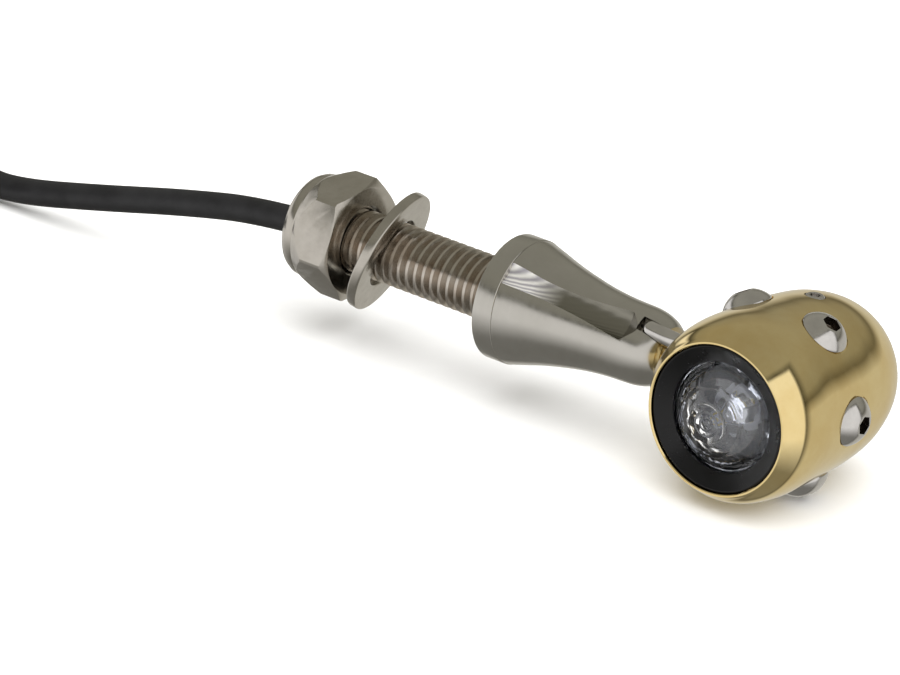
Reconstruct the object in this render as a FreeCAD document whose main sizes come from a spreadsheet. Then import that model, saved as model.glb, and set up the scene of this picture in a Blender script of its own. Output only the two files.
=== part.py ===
import FreeCAD, Part

import math
import os

import Sketcher
from FreeCAD import Placement, Rotation, Vector

# Bullet marker light on a turned stem with a hollow M10 stud.
# Row frame: origin at the centre of the collar's mounting face, +X along the stem
# towards the head, the lens looks along -Y, +Z is up. Millimetres.

doc = FreeCAD.newDocument("navigation_light")
sheet = doc.addObject("Spreadsheet::Sheet", "dims")

DRIVING = {
    # hollow stud, nut and washer
    "thread_radius": 4.925,
    "thread_depth": 0.92,
    "thread_pitch": 1.5,
    "crest_flat": 0.2,
    "stud_reach": 38.4,
    "stud_grip": 8.0,
    "stud_bore": 2.7,
    "stud_lead_in": 0.4,
    "stud_bevel": 0.3,
    "nut_across": 17.0,
    "nut_height": 10.0,
    "nut_crown_height": 2.7,
    "nut_crown_step": 0.45,
    "nut_crown_rise": 1.0,
    "nut_crown_drop": 1.3,
    "nut_crown_round": 1.9,
    "nut_shoulder": 0.9,
    "nut_foot": 1.37,
    "nut_foot_bevel": 0.15,
    "nut_from_end": 10.9,
    "nut_lead_in": 0.55,
    "nut_turned": 13.3,
    "insert_height": 2.4,
    "insert_wall": 1.3,
    "insert_cover": 0.3,
    "insert_lip": 0.25,
    "thread_clearance": 0.06,
    "washer_radius": 10.0,
    "washer_clearance": 0.525,
    "washer_thick": 2.0,
    "washer_edge": 0.25,
    "washer_from_nut": 5.5,
    "washer_tilt": 14.0,
    # collar and stem
    "collar_radius": 9.6,
    "collar_thick": 3.4,
    "collar_bevel": 0.25,
    "waist_radius": 5.92,
    "cone_length": 20.8,
    "cone_hollow": 62.0,
    "nose_length": 4.4,
    "nose_radius": 4.35,
    "nose_round": 6.2,
    "stem_wire_bore": 2.0,
    "boss_socket_depth": 10.4,
    "boss_end_play": 0.4,
    "channel_radius": 2.9,
    "channel_rise": 2.1,
    "channel_slope": 13.2,
    "channel_length": 20.6,
    "channel_lead": 4.0,
    "channel_angle": 44.0,
    "channel_tip": 1.5,
    "clamp_radius": 1.2,
    "clamp_length": 6.4,
    "clamp_rise": 0.65,
    "clamp_back": 3.2,
    "clamp_lead": 0.6,
    "clamp_slope": 9.5,
    "clamp_angle": 56.0,
    "clamp_play": 0.15,
    "clamp_key": 1.5,
    "clamp_bevel": 0.42,
    "socket_depth": 1.4,
    "socket_reach": 2.0,
    # bullet housing
    "boss_shown": 4.39,
    "rim_forward": 15.03,
    "body_radius": 13.65,
    "rim_inset": 2.21,
    "front_length": 6.5,
    "front_round": 10.7,
    "barrel_length": 12.5,
    "tail_length": 19.2,
    "tail_round": 23.7,
    "tip_round": 10.2,
    "tip_length": 3.4,
    "tip_inset": 6.05,
    "rim_wall": 0.49,
    "bezel_depth": 3.5,
    "bezel_shoulder": 0.35,
    "core_behind": 4.37,
    "rear_shoulder": 1.0,
    "rear_room": 8.2,
    "rear_round": 1.5,
    "rear_cone": 3.0,
    "boss_radius": 2.75,
    "boss_bevel": 0.2,
    "boss_root": 1.6,
    "boss_hole_past": 4.65,
    "boss_wire_bore": 1.35,
    "swivel_clearance": 0.05,
    "ring_groove": 0.87,
    "ring_groove_width": 1.0,
    "ring_groove_at": 2.2,
    # optics
    "bezel_lip": 0.25,
    "bezel_lead_in": 0.3,
    "bezel_edge": 0.25,
    "bezel_dish": 1.3,
    "lens_border": 1.55,
    "lens_lap": 1.3,
    "lens_thick": 1.4,
    "lens_edge_gap": 0.1,
    "lens_rise": 4.5,
    "lens_round": 9.4,
    "lens_wall": 1.1,
    "lens_inner_round": 7.5,
    "lens_inner_flat": 1.0,
    "lens_eye": 3.0,
    "lens_eye_step": 0.49,
    "fit_gap": 0.05,
    "seal_section": 0.5,
    "seal_play": 0.02,
    "optic_border": 1.5,
    "optic_behind": 0.8,
    "optic_rim": 1.2,
    "optic_height": 4.8,
    "optic_round": 13.0,
    "optic_bowl": 0.4,
    "optic_bowl_edge": 1.2,
    "optic_crown": 0.5,
    "optic_land": 1.0,
    "optic_neck": 3.4,
    "optic_foot": 1.1,
    "optic_hollow": 2.4,
    "optic_hollow_draft": 0.4,
    "optic_dome": 2.4,
    "led_side": 3.5,
    "led_thick": 0.7,
    "led_dome": 1.4,
    "led_trim": 1.0,
    "board_border": 0.8,
    "board_thick": 1.2,
    "board_clear": 0.8,
    "pad_thick": 0.4,
    # heat sink and driver
    "sink_passage": 1.6,
    "sink_rear_passage": 1.35,
    "sink_recess_wall": 1.2,
    "sink_recess_past": 2.0,
    "sink_lead": 1.0,
    "driver_border": 0.8,
    "driver_thick": 1.0,
    "driver_gap": 2.0,
    "choke_radius": 2.4,
    "choke_height": 2.2,
    "store_radius": 1.9,
    "store_height": 2.8,
    "chip_length": 4.0,
    "chip_height": 1.3,
    # screws
    "button_head": 3.7,
    "button_height": 2.2,
    "button_shank": 1.95,
    "button_length": 5.4,
    "button_key": 2.5,
    "button_station": 0.5,
    "button_sunk": 0.65,
    "button_rim": 0.4,
    "button_bevel": 0.3,
    "button_top": 1.55,
    "button_round": 4.37,
    "seat_gap": 0.2,
    "hole_past": 0.4,
    "grub_radius": 1.5,
    "grub_length": 3.3,
    "grub_key": 1.5,
    "grub_sunk": 0.4,
    "grub_station": 7.8,
    # wires and lead
    "wire_radius": 0.5,
    "wire_apart": 0.62,
    "cable_diameter": 4.2,
    "grommet_length": 4.0,
    "tie_thick": 0.5,
    "tie_width": 6.0,
    "tie_play": 0.03,
    "tie_tongue": 0.3,
    "coil_radius": 21.2,
    "coil_layer": 3.64,
    "tail_drop": 0.1,
    "tail_bend": 9.5,
    "tail_turn": 120.0,
    "tail_hidden": 84.0,
    "connector_radius": 5.4,
    "connector_length": 15.0,
    "connector_socket": 7.0,
    "connector_wall": 1.3,
    "connector_nose": 0.4,
    "connector_shoulder": 0.5,
    "boot_length": 8.0,
    "boot_wall": 0.7,
    "boot_step": 1.0,
    "pin_radius": 0.75,
    "pin_reach": 5.6,
    "pin_apart": 1.7,
    "plug_seal_at": 3.0,
    "plug_seal_width": 2.0,
    "plug_seal_height": 0.6,
}


class Size:
    """A length or angle that knows its value and its spreadsheet expression."""

    def __init__(self, value, text):
        self.value = value
        self.text = text

    def joined(self, other, sign, value):
        text = other.text if isinstance(other, Size) else repr(float(other))
        return Size(value, f"({self.text} {sign} {text})")

    def __add__(self, other):
        return self.joined(other, "+", self.value + plain(other))

    def __sub__(self, other):
        return self.joined(other, "-", self.value - plain(other))

    def __mul__(self, other):
        return self.joined(other, "*", self.value * plain(other))

    def __truediv__(self, other):
        return self.joined(other, "/", self.value / plain(other))

    def __neg__(self):
        return Size(-self.value, f"(0 - {self.text})")


def plain(size):
    return size.value if isinstance(size, Size) else float(size)


def fill_sheet():
    for row, (alias, value) in enumerate(DRIVING.items(), start=1):
        sheet.set(f"A{row}", alias)
        sheet.set(f"B{row}", str(value))
        sheet.setAlias(f"B{row}", alias)
    doc.recompute()
    return {alias: Size(value, f"dims.{alias}") for alias, value in DRIVING.items()}


def tie(sizes):
    """Sizes and places that follow from others by a wall, a gap or a step."""
    s = sizes
    s["nut_hex_height"] = s["nut_height"] - s["nut_crown_height"]
    s["nut_crown_radius"] = s["nut_across"] / 2 - s["nut_crown_step"]
    s["nut_face_at"] = s["stud_reach"] - s["nut_from_end"]
    s["washer_at"] = s["nut_face_at"] - s["washer_from_nut"]
    s["washer_hole"] = s["thread_radius"] + s["washer_clearance"]
    s["channel_height"] = s["collar_radius"] + s["channel_rise"]
    s["clamp_height"] = s["nose_radius"] + s["clamp_rise"]
    s["nose_end"] = s["collar_thick"] + s["cone_length"] + s["nose_length"]
    s["head_offset"] = s["nose_end"] + s["boss_shown"] + s["body_radius"]
    s["rim_radius"] = s["body_radius"] - s["rim_inset"]
    s["tip_radius"] = s["body_radius"] - s["tip_inset"]
    s["bezel_seat"] = s["rim_radius"] - s["rim_wall"]
    s["core_bore"] = s["bezel_seat"] - s["bezel_shoulder"]
    s["rear_bore"] = s["core_bore"] - s["rear_shoulder"]
    s["core_depth"] = s["rim_forward"] + s["core_behind"]
    s["rear_depth"] = s["core_depth"] + s["rear_room"]
    s["lens_radius"] = s["bezel_seat"] - s["lens_border"]
    s["bezel_window"] = s["lens_radius"] - s["lens_lap"]
    s["optic_radius"] = s["lens_radius"] - s["optic_border"]
    s["optic_face"] = s["bezel_depth"] + s["optic_behind"]
    s["optic_back"] = s["optic_face"] + s["optic_height"]
    s["board_at"] = s["optic_back"] + s["board_clear"]
    s["board_radius"] = s["core_bore"] - s["board_border"]
    s["sink_front"] = s["board_at"] + s["board_thick"] + s["pad_thick"]
    s["sink_radius"] = s["core_bore"] - s["fit_gap"]
    s["driver_radius"] = s["rear_bore"] - s["driver_border"]
    s["driver_at"] = s["core_depth"] + s["driver_gap"]
    s["button_face"] = s["body_radius"] - s["button_sunk"]
    s["button_seat"] = s["button_head"] + s["seat_gap"]
    s["grub_top"] = s["body_radius"] - s["grub_sunk"]
    return s


def mm(name):
    """The plain number of a named size."""
    return plain(D[name])


D = tie(fill_sheet())
NIL = Size(0.0, "0")

# +X of a turned piece laid along these row directions
ALONG_X = Rotation()
ALONG_BACK_X = Rotation(Vector(0, 0, 1), 180)
ALONG_Y = Rotation(Vector(0, 0, 1), 90)

# stations along the stem (row X) and along the bullet (distance behind its rim)
CONE_END = D["collar_thick"] + D["cone_length"]
NOSE_END = D["nose_end"]
BOSS_END = NOSE_END - D["boss_socket_depth"]
STUD_LENGTH = D["stud_reach"] + D["collar_thick"] + D["stud_grip"]
TAIL_START = D["front_length"] + D["barrel_length"]
BODY_LENGTH = TAIL_START + D["tail_length"]
SINK_FRONT = D["sink_front"]


def bind(item, prop, size):
    setattr(item, prop, plain(size))
    if isinstance(size, Size):
        item.setExpression(prop, size.text)


def place(item, at, turn):
    """Put an object at row position `at` (three sizes) with rotation `turn`."""
    item.Placement = Placement(Vector(*[plain(c) for c in at]), turn)
    for axis, size in zip("xyz", at):
        if isinstance(size, Size):
            item.setExpression(f".Placement.Base.{axis}", size.text)
    return item


def arc_between(start, end, radius, side):
    """Arc of the given radius from start to end; side +1 bows outwards, -1 inwards."""
    chord = end.sub(start)
    half = chord.Length / 2
    rise = math.sqrt(max(radius * radius - half * half, 0.0))
    across = Vector(-chord.y, chord.x, 0).normalize()
    if across.y < 0:
        across = across.negative()
    centre = start.add(end).multiply(0.5).sub(across.multiply(side * rise))
    first = math.atan2(start.y - centre.y, start.x - centre.x)
    last = math.atan2(end.y - centre.y, end.x - centre.x)
    sweep = (last - first) % (2 * math.pi)
    circle = Part.Circle(centre, Vector(0, 0, 1), radius)
    if sweep > math.pi:
        return Part.ArcOfCircle(circle, last, first), True
    return Part.ArcOfCircle(circle, first, last), False


def pin_point(sketch, geometry, corner, across, up):
    """Hold one corner at its two sizes from the sketch's origin."""
    for kind, axis, size in (("DistanceX", -2, across), ("DistanceY", -1, up)):
        if abs(plain(size)) < 1e-9:
            sketch.addConstraint(Sketcher.Constraint("PointOnObject", geometry, corner, axis))
            continue
        rule = Sketcher.Constraint(kind, -1, 1, geometry, corner, plain(size))
        index = sketch.addConstraint(rule)
        if isinstance(size, Size):
            sketch.setExpression(f"Constraints[{index}]", size.text)


def draw_outline(sketch, outline):
    """Closed outline from (x, radius) corners; a third entry makes the next edge an arc."""
    corners = [Vector(plain(p[0]), plain(p[1]), 0) for p in outline]
    starts = []
    for i, point in enumerate(outline):
        begin, end = corners[i], corners[(i + 1) % len(corners)]
        if len(point) == 3:
            radius, side = point[2]
            edge, swapped = arc_between(begin, end, plain(radius), side)
        else:
            edge, swapped = Part.LineSegment(begin, end), False
        index = sketch.addGeometry(edge, False)
        starts.append((index, 2 if swapped else 1, 1 if swapped else 2))
        if len(point) == 3:
            rule = sketch.addConstraint(Sketcher.Constraint("Radius", index, plain(radius)))
            if isinstance(radius, Size):
                sketch.setExpression(f"Constraints[{rule}]", radius.text)
    for i, (index, _, finish) in enumerate(starts):
        following = starts[(i + 1) % len(starts)]
        sketch.addConstraint(
            Sketcher.Constraint("Coincident", index, finish, following[0], following[1])
        )
    for (index, start, _), point in zip(starts, outline):
        pin_point(sketch, index, start, point[0], point[1])


def body_with_sketch(name, outline):
    body = doc.addObject("PartDesign::Body", name)
    sketch = body.newObject("Sketcher::SketchObject", name + "_outline")
    plane = [f for f in body.Origin.OriginFeatures if f.Role == "XY_Plane"][0]
    sketch.AttachmentSupport = [(plane, "")]
    sketch.MapMode = "FlatFace"
    draw_outline(sketch, outline)
    return body, sketch


def turned(name, outline, at=(0, 0, 0), turn=ALONG_X):
    """Piece turned about its own X axis from an (x, radius) outline."""
    body, sketch = body_with_sketch(name, outline)
    feature = body.newObject("PartDesign::Revolution", name + "_turn")
    feature.Profile = sketch
    feature.ReferenceAxis = (sketch, ["H_Axis"])
    feature.Angle = 360.0
    body.Tip = feature
    return place(body, at, turn)


def ring(name, inner, outer, start, length, at=(0, 0, 0), turn=ALONG_X):
    """Plain ring or, with no inner radius, a disc, between two stations."""
    finish = start + length
    return turned(
        name, [(start, inner), (finish, inner), (finish, outer), (start, outer)], at, turn
    )


def cylinder(name, radius, height, at, turn):
    """Part cylinder whose own Z is turned by `turn`."""
    item = doc.addObject("Part::Cylinder", name)
    bind(item, "Radius", radius)
    bind(item, "Height", height)
    return place(item, at, turn)


def hexagon(name, across, height, at, turn):
    item = doc.addObject("Part::Prism", name)
    item.Polygon = 6
    bind(item, "Circumradius", across / math.sqrt(3))
    bind(item, "Height", height)
    return place(item, at, turn)


def block(name, length, width, height, at, turn=ALONG_X):
    item = doc.addObject("Part::Box", name)
    bind(item, "Length", length)
    bind(item, "Width", width)
    bind(item, "Height", height)
    return place(item, at, turn)


def cut(name, base, *tools):
    for i, tool in enumerate(tools):
        result = doc.addObject("Part::Cut", f"{name}_cut{i}")
        result.Base = base
        result.Tool = tool
        base = result
    base.Label = name
    return base


def fused(name, *pieces):
    result = doc.addObject("Part::MultiFuse", name + "_all")
    result.Shapes = list(pieces)
    result.Label = name
    return result


def common(name, *pieces):
    result = doc.addObject("Part::MultiCommon", name + "_shared")
    result.Shapes = list(pieces)
    result.Label = name
    return result


def heading(direction):
    """Rotation that lays an object's own Z along a row direction."""
    return Rotation(Vector(0, 0, 1), direction)


# ---------------------------------------------------------------- mount: stud, collar, stem


def threaded_stud():
    """Hollow stud; each thread crest is a ring of its own, with the M10 depth and pitch."""
    outline = [(NIL, D["stud_bore"]), (NIL, D["thread_radius"] - D["thread_depth"])]
    root = D["thread_radius"] - D["thread_depth"]
    ends = mm("stud_lead_in") + mm("stud_bevel") * 2
    turns = int((mm("stud_reach") - ends) / mm("thread_pitch"))
    flank = (D["thread_pitch"] - D["crest_flat"] * 2) / 2
    for turn in range(turns):
        start = D["thread_pitch"] * turn + D["stud_lead_in"]
        outline.append((start, root))
        outline.append((start + flank, D["thread_radius"]))
        outline.append((start + flank + D["crest_flat"], D["thread_radius"]))
        outline.append((start + flank * 2 + D["crest_flat"], root))
    relief = D["stud_reach"] - D["stud_bevel"]
    outline += [
        (relief, root),
        (D["stud_reach"], D["thread_radius"]),
        (STUD_LENGTH, D["thread_radius"]),
        (STUD_LENGTH, D["stud_bore"]),
    ]
    return turned("threaded_stud", outline, (-D["stud_reach"], 0, 0))


def base_collar():
    """Disc that bears on the panel; the stud passes through it."""
    rim = D["collar_radius"] - D["collar_bevel"]
    hole = D["thread_radius"] + D["fit_gap"]
    return turned(
        "base_collar",
        [
            (NIL, hole),
            (NIL, rim),
            (D["collar_bevel"], D["collar_radius"]),
            (D["collar_thick"], D["collar_radius"]),
            (D["collar_thick"], hole),
        ],
    )


def key_channel_direction():
    slope = math.radians(mm("channel_slope"))
    round_x = Rotation(Vector(1, 0, 0), -mm("channel_angle"))
    return round_x.multVec(Vector(math.cos(slope), math.sin(slope), 0))


def around_stem(x, height, angle):
    """Row position at a height from the stem's axis, at an angle above -Y."""
    theta = math.radians(angle)
    return Vector(x, -height * math.cos(theta), height * math.sin(theta))


def key_channel():
    """Round channel for a hex key, sunk towards the nose, with a drill-point end."""
    along = key_channel_direction()
    start = around_stem(
        mm("collar_thick"), mm("channel_height"), mm("channel_angle")
    )
    turn = heading(along)
    bore = cylinder(
        "channel_bore",
        D["channel_radius"],
        D["channel_length"] + D["channel_lead"],
        tuple(start.sub(along * mm("channel_lead"))),
        turn,
    )
    tip = doc.addObject("Part::Cone", "channel_tip")
    bind(tip, "Radius1", D["channel_radius"])
    tip.Radius2 = 0.0
    bind(tip, "Height", D["channel_tip"])
    place(tip, tuple(start.add(along * mm("channel_length"))), turn)
    return bore, tip


def clamp_screw_frame():
    """Start point and direction of the clamp screw in the stem's nose."""
    slope = math.radians(mm("clamp_slope"))
    start = around_stem(
        mm("nose_end") - mm("clamp_back"), mm("clamp_height"), mm("clamp_angle")
    )
    round_x = Rotation(Vector(1, 0, 0), -mm("clamp_angle"))
    return start, round_x.multVec(Vector(math.cos(slope), math.sin(slope), 0))


def stem():
    """Turned stem: hollow-sided cone, rounded nose, wire bore, key channel, screw seat."""
    blank = turned(
        "stem_blank",
        [
            (D["collar_thick"], D["thread_radius"]),
            (D["collar_thick"], D["collar_radius"], (D["cone_hollow"], -1)),
            (CONE_END, D["waist_radius"], (D["nose_round"], 1)),
            (NOSE_END, D["nose_radius"]),
            (NOSE_END, D["boss_radius"] + D["swivel_clearance"]),
            (BOSS_END - D["boss_end_play"], D["boss_radius"] + D["swivel_clearance"]),
            (BOSS_END - D["boss_end_play"], D["stem_wire_bore"]),
            (D["collar_thick"] + D["stud_grip"], D["stem_wire_bore"]),
            (D["collar_thick"] + D["stud_grip"], D["thread_radius"]),
        ],
    )
    bore, tip = key_channel()
    start, along = clamp_screw_frame()
    seat = cylinder(
        "clamp_seat",
        D["clamp_radius"] + D["clamp_play"],
        D["clamp_length"] + D["clamp_lead"] * 2,
        tuple(start.sub(along * mm("clamp_lead"))),
        heading(along),
    )
    return cut("stem", blank, bore, tip, seat)


def clamp_screw():
    """Cup-point screw that holds the head's boss in the stem's nose."""
    start, along = clamp_screw_frame()
    bevel = D["clamp_bevel"]
    turn = Rotation(Vector(1, 0, 0), along)
    shank = turned(
        "clamp_shank",
        [
            (NIL, NIL),
            (NIL, D["clamp_radius"] - bevel),
            (bevel, D["clamp_radius"]),
            (D["clamp_length"] - bevel, D["clamp_radius"]),
            (D["clamp_length"], D["clamp_radius"] - bevel),
            (D["clamp_length"], NIL),
        ],
        tuple(start),
        turn,
    )
    socket = hexagon(
        "clamp_socket", D["clamp_key"], D["socket_reach"], tuple(start), heading(along)
    )
    return cut("clamp_screw", shank, socket)


def cable_grommet():
    """Rubber bush that closes the stud's end round the cable."""
    return ring(
        "cable_grommet",
        D["cable_diameter"] / 2,
        D["stud_bore"],
        NIL,
        D["grommet_length"],
        (-D["stud_reach"], 0, 0),
    )


# turn that brings a hexagon's flat to face -Y
HEX_TO_FLAT = 90.0


def lock_nut():
    """Hexagon nut with a round collar that holds the nylon insert."""
    flank = D["nut_across"] / 2
    corner = D["nut_across"] / math.sqrt(3)
    bore = D["thread_radius"] + D["thread_clearance"]
    at = (-D["nut_face_at"], 0, 0)
    pocket = bore + D["insert_wall"]
    crown = D["nut_crown_radius"]
    cover = D["nut_height"] - D["insert_cover"]
    blank = turned(
        "nut_blank",
        [
            (NIL, bore + D["nut_lead_in"]),
            (NIL, flank - D["nut_foot_bevel"]),
            (D["nut_foot"], corner),
            (D["nut_hex_height"] - D["nut_shoulder"], corner),
            (D["nut_hex_height"], crown),
            (D["nut_hex_height"] + D["nut_crown_rise"], crown, (D["nut_crown_round"], 1)),
            (D["nut_height"], crown - D["nut_crown_drop"]),
            (D["nut_height"], pocket - D["insert_lip"]),
            (cover, pocket - D["insert_lip"]),
            (cover, pocket),
            (cover - D["insert_height"], pocket),
            (cover - D["insert_height"], bore),
            (D["nut_lead_in"], bore),
        ],
        at,
        ALONG_BACK_X,
    )
    spin = Rotation(Vector(1, 0, 0), HEX_TO_FLAT - mm("nut_turned"))
    outward = spin * heading(Vector(-1, 0, 0))
    hexes = hexagon("nut_hexagon", D["nut_across"], D["nut_height"], at, outward)
    return common("lock_nut", blank, hexes)


def nylon_insert():
    """Nylon locking ring in the nut's collar."""
    bore = D["thread_radius"] + D["thread_clearance"]
    start = D["nut_height"] - D["insert_cover"] - D["insert_height"]
    return ring(
        "nylon_insert",
        bore,
        bore + D["insert_wall"],
        start,
        D["insert_height"],
        (-D["nut_face_at"], 0, 0),
        ALONG_BACK_X,
    )


def flat_washer():
    """Loose washer that leans on the thread, its top towards the head."""
    edge = D["washer_edge"]
    half = D["washer_thick"] / 2
    return turned(
        "flat_washer",
        [
            (-half, D["washer_hole"]),
            (-half, D["washer_radius"] - edge),
            (-half + edge, D["washer_radius"]),
            (half - edge, D["washer_radius"]),
            (half, D["washer_radius"] - edge),
            (half, D["washer_hole"]),
        ],
        (-D["washer_at"], 0, 0),
        Rotation(Vector(0, 1, 0), mm("washer_tilt")),
    )


def wire_path(points, bend):
    """Straight runs joined by arcs of one bend radius."""
    edges = []
    last = points[0]
    for here, after in zip(points[1:-1], points[2:]):
        before = here.sub(last).normalize()
        onward = after.sub(here).normalize()
        half = before.getAngle(onward) / 2
        trim = bend * math.tan(half)
        start = here.sub(before * trim)
        finish = here.add(onward * trim)
        inward = onward.sub(before).normalize()
        middle = here.add(inward * (bend / math.cos(half) - bend))
        edges.append(Part.LineSegment(last, start).toShape())
        edges.append(Part.Arc(start, middle, finish).toShape())
        last = finish
    edges.append(Part.LineSegment(last, points[-1]).toShape())
    return Part.Wire(edges)


def swept(name, points, radius, bend):
    """Round wire of one radius along runs joined by arcs."""
    spine = wire_path(points, bend)
    direction = points[1].sub(points[0]).normalize()
    section = Part.Wire(Part.Circle(points[0], direction, radius).toShape())
    solid = spine.makePipeShell([section], True, False)
    item = doc.addObject("Part::Feature", name)
    item.Shape = solid
    expected = math.pi * radius * radius * spine.Length
    if abs(solid.Volume - expected) > 0.01 * expected:
        raise ValueError(f"{name}: volume {solid.Volume:.2f}, expected {expected:.2f}")
    return item


# the wires start this far inside the stud's end and stop short of the swivel
WIRES_INSIDE = Size(6.5, "6.5")
WIRES_SHORT = 0.6


def lead_wires():
    """Two insulated wires from the cable's end to the nose of the stem."""
    start = WIRES_INSIDE - D["stud_reach"]
    length = BOSS_END - WIRES_SHORT - start
    side = Rotation(Vector(0, 0, 1), Vector(1, 0, 0))
    upper = cylinder("lead_wire_a", D["wire_radius"], length, (start, 0, D["wire_apart"]), side)
    lower = cylinder("lead_wire_b", D["wire_radius"], length, (start, 0, -D["wire_apart"]), side)
    return fused("lead_wires", upper, lower)


# ---------------------------------------------------------------- head: bullet and its insides


def on_head(depth):
    """Row position on the bullet's axis at a depth behind the rim."""
    return (D["head_offset"], depth - D["rim_forward"], 0)


RIM = (D["head_offset"], -D["rim_forward"], 0)


def radial(angle):
    """Row direction across the bullet, turned from +X towards +Z."""
    theta = math.radians(angle)
    return Vector(math.cos(theta), 0, math.sin(theta))


def from_axis(radius, station, angle):
    out = radial(angle) * radius
    return Vector(mm("head_offset") + out.x, station, out.z)


BUTTON_ANGLES = (0, 60, 120, 240, 300)

# how far from the bullet's axis the screw holes start, inside the hollow shell
SCREW_HOLE_FOOT = mm("button_face") - mm("button_length") + mm("hole_past")


def bullet_blank():
    """Hollow brass bullet: rounded front, straight barrel, full round tail."""
    return turned(
        "bullet_blank",
        [
            (NIL, D["bezel_seat"]),
            (NIL, D["rim_radius"], (D["front_round"], 1)),
            (D["front_length"], D["body_radius"]),
            (TAIL_START, D["body_radius"], (D["tail_round"], 1)),
            (BODY_LENGTH - D["tip_length"], D["tip_radius"], (D["tip_round"], 1)),
            (BODY_LENGTH, NIL),
            (D["rear_depth"] + D["rear_round"], NIL),
            (D["rear_depth"], D["rear_bore"] - D["rear_cone"]),
            (D["rear_depth"] - D["rear_round"], D["rear_bore"]),
            (D["core_depth"], D["rear_bore"]),
            (D["core_depth"], D["core_bore"]),
            (D["bezel_depth"], D["core_bore"]),
            (D["bezel_depth"], D["bezel_seat"]),
        ],
        RIM,
        ALONG_Y,
    )


def boss():
    """Turned boss that joins the bullet to the stem, with a groove for its seal."""
    length = D["head_offset"] - D["body_radius"] + D["boss_root"] - BOSS_END
    groove = D["boss_radius"] - D["ring_groove"]
    first = D["ring_groove_at"]
    second = first + D["ring_groove_width"]
    return turned(
        "boss",
        [
            (NIL, D["boss_wire_bore"]),
            (NIL, D["boss_radius"] - D["boss_bevel"]),
            (D["boss_bevel"], D["boss_radius"]),
            (first, D["boss_radius"]),
            (first, groove),
            (second, groove),
            (second, D["boss_radius"]),
            (length, D["boss_radius"]),
            (length, D["boss_wire_bore"]),
        ],
        (BOSS_END, 0, 0),
    )


def bullet_housing():
    """Polished shell with its boss, screw seats, screw holes and wire hole."""
    shell = fused("bullet_shell", bullet_blank(), boss())
    tools = [
        cylinder(
            "boss_wire_hole",
            D["boss_wire_bore"],
            D["head_offset"] - D["body_radius"] + D["boss_hole_past"] - BOSS_END,
            (BOSS_END, 0, 0),
            heading(Vector(1, 0, 0)),
        )
    ]
    for angle in BUTTON_ANGLES:
        turn = heading(radial(angle))
        seat = from_axis(mm("button_face"), mm("button_station"), angle)
        hole = from_axis(SCREW_HOLE_FOOT, mm("button_station"), angle)
        shank = D["button_shank"] + D["fit_gap"]
        tools.append(cylinder(f"seat_{angle}", D["button_seat"], D["body_radius"], tuple(seat), turn))
        tools.append(cylinder(f"hole_{angle}", shank, D["body_radius"], tuple(hole), turn))
    grub = from_axis(SCREW_HOLE_FOOT, mm("grub_station"), 90)
    up = heading(Vector(0, 0, 1))
    bore = D["grub_radius"] + D["fit_gap"]
    tools.append(cylinder("grub_hole", bore, D["body_radius"], tuple(grub), up))
    return cut("bullet_housing", shell, *tools)


def boss_seal():
    """O-ring in the boss's groove."""
    item = doc.addObject("Part::Torus", "boss_seal")
    section = D["ring_groove"] / 2
    bind(item, "Radius1", D["boss_radius"] - section)
    bind(item, "Radius2", section - D["seal_play"] / 2)
    middle = BOSS_END + D["ring_groove_at"] + D["ring_groove_width"] / 2
    return place(item, (middle, 0, 0), heading(Vector(1, 0, 0)))


def bezel_ring():
    """Black dished ring that clamps the lens."""
    rim = D["bezel_seat"] - D["fit_gap"]
    pocket = D["bezel_depth"] - D["lens_thick"] - D["fit_gap"]
    return turned(
        "bezel_ring",
        [
            (D["bezel_lip"], rim - D["bezel_lead_in"]),
            (D["bezel_lip"] + D["bezel_dish"], D["bezel_window"]),
            (pocket, D["bezel_window"]),
            (pocket, D["lens_radius"] + D["fit_gap"]),
            (D["bezel_depth"], D["lens_radius"] + D["fit_gap"]),
            (D["bezel_depth"], rim),
            (D["bezel_lip"] + D["bezel_edge"], rim),
        ],
        RIM,
        ALONG_Y,
    )


def front_lens():
    """Clear domed window with a flange in the bezel and a round eye raised in its middle."""
    back = D["bezel_depth"]
    face = back - D["lens_thick"]
    edge = D["bezel_window"] - D["lens_edge_gap"]
    crown = face - D["lens_rise"]
    return turned(
        "front_lens",
        [
            (back, edge - D["lens_wall"], (D["lens_inner_round"], 1)),
            (crown + D["lens_wall"], D["lens_inner_flat"]),
            (crown + D["lens_wall"], NIL),
            (crown, NIL),
            (crown, D["lens_eye"]),
            (crown + D["lens_eye_step"], D["lens_eye"], (D["lens_round"], 1)),
            (face, edge),
            (face, D["lens_radius"]),
            (back, D["lens_radius"]),
        ],
        RIM,
        ALONG_Y,
    )


def lens_seal():
    """O-ring behind the window."""
    item = doc.addObject("Part::Torus", "lens_seal")
    bind(item, "Radius1", D["lens_radius"] - D["seal_section"])
    bind(item, "Radius2", D["seal_section"] - D["seal_play"])
    return place(
        item, on_head(D["bezel_depth"] + D["seal_section"]), heading(Vector(0, 1, 0))
    )


def collimator_optic():
    """Clear collimator: flat rim, tapered sides, dome in the middle, hollow over the LED."""
    face = D["optic_face"]
    back = D["optic_back"]
    neck = D["optic_neck"]
    crown = face - D["optic_crown"]
    bowl = face + D["optic_bowl"]
    foot = neck - D["optic_foot"]
    hollow = back - D["optic_hollow"]
    return turned(
        "collimator_optic",
        [
            (crown, NIL),
            (crown, D["optic_dome"] / 2),
            (bowl, D["optic_dome"]),
            (bowl, D["optic_dome"] + D["optic_bowl_edge"]),
            (face, D["optic_radius"] - D["optic_land"]),
            (face, D["optic_radius"]),
            (face + D["optic_rim"], D["optic_radius"], (D["optic_round"], 1)),
            (back, neck),
            (back, foot),
            (hollow, foot - D["optic_hollow_draft"]),
            (hollow, NIL),
        ],
        RIM,
        ALONG_Y,
    )


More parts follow.
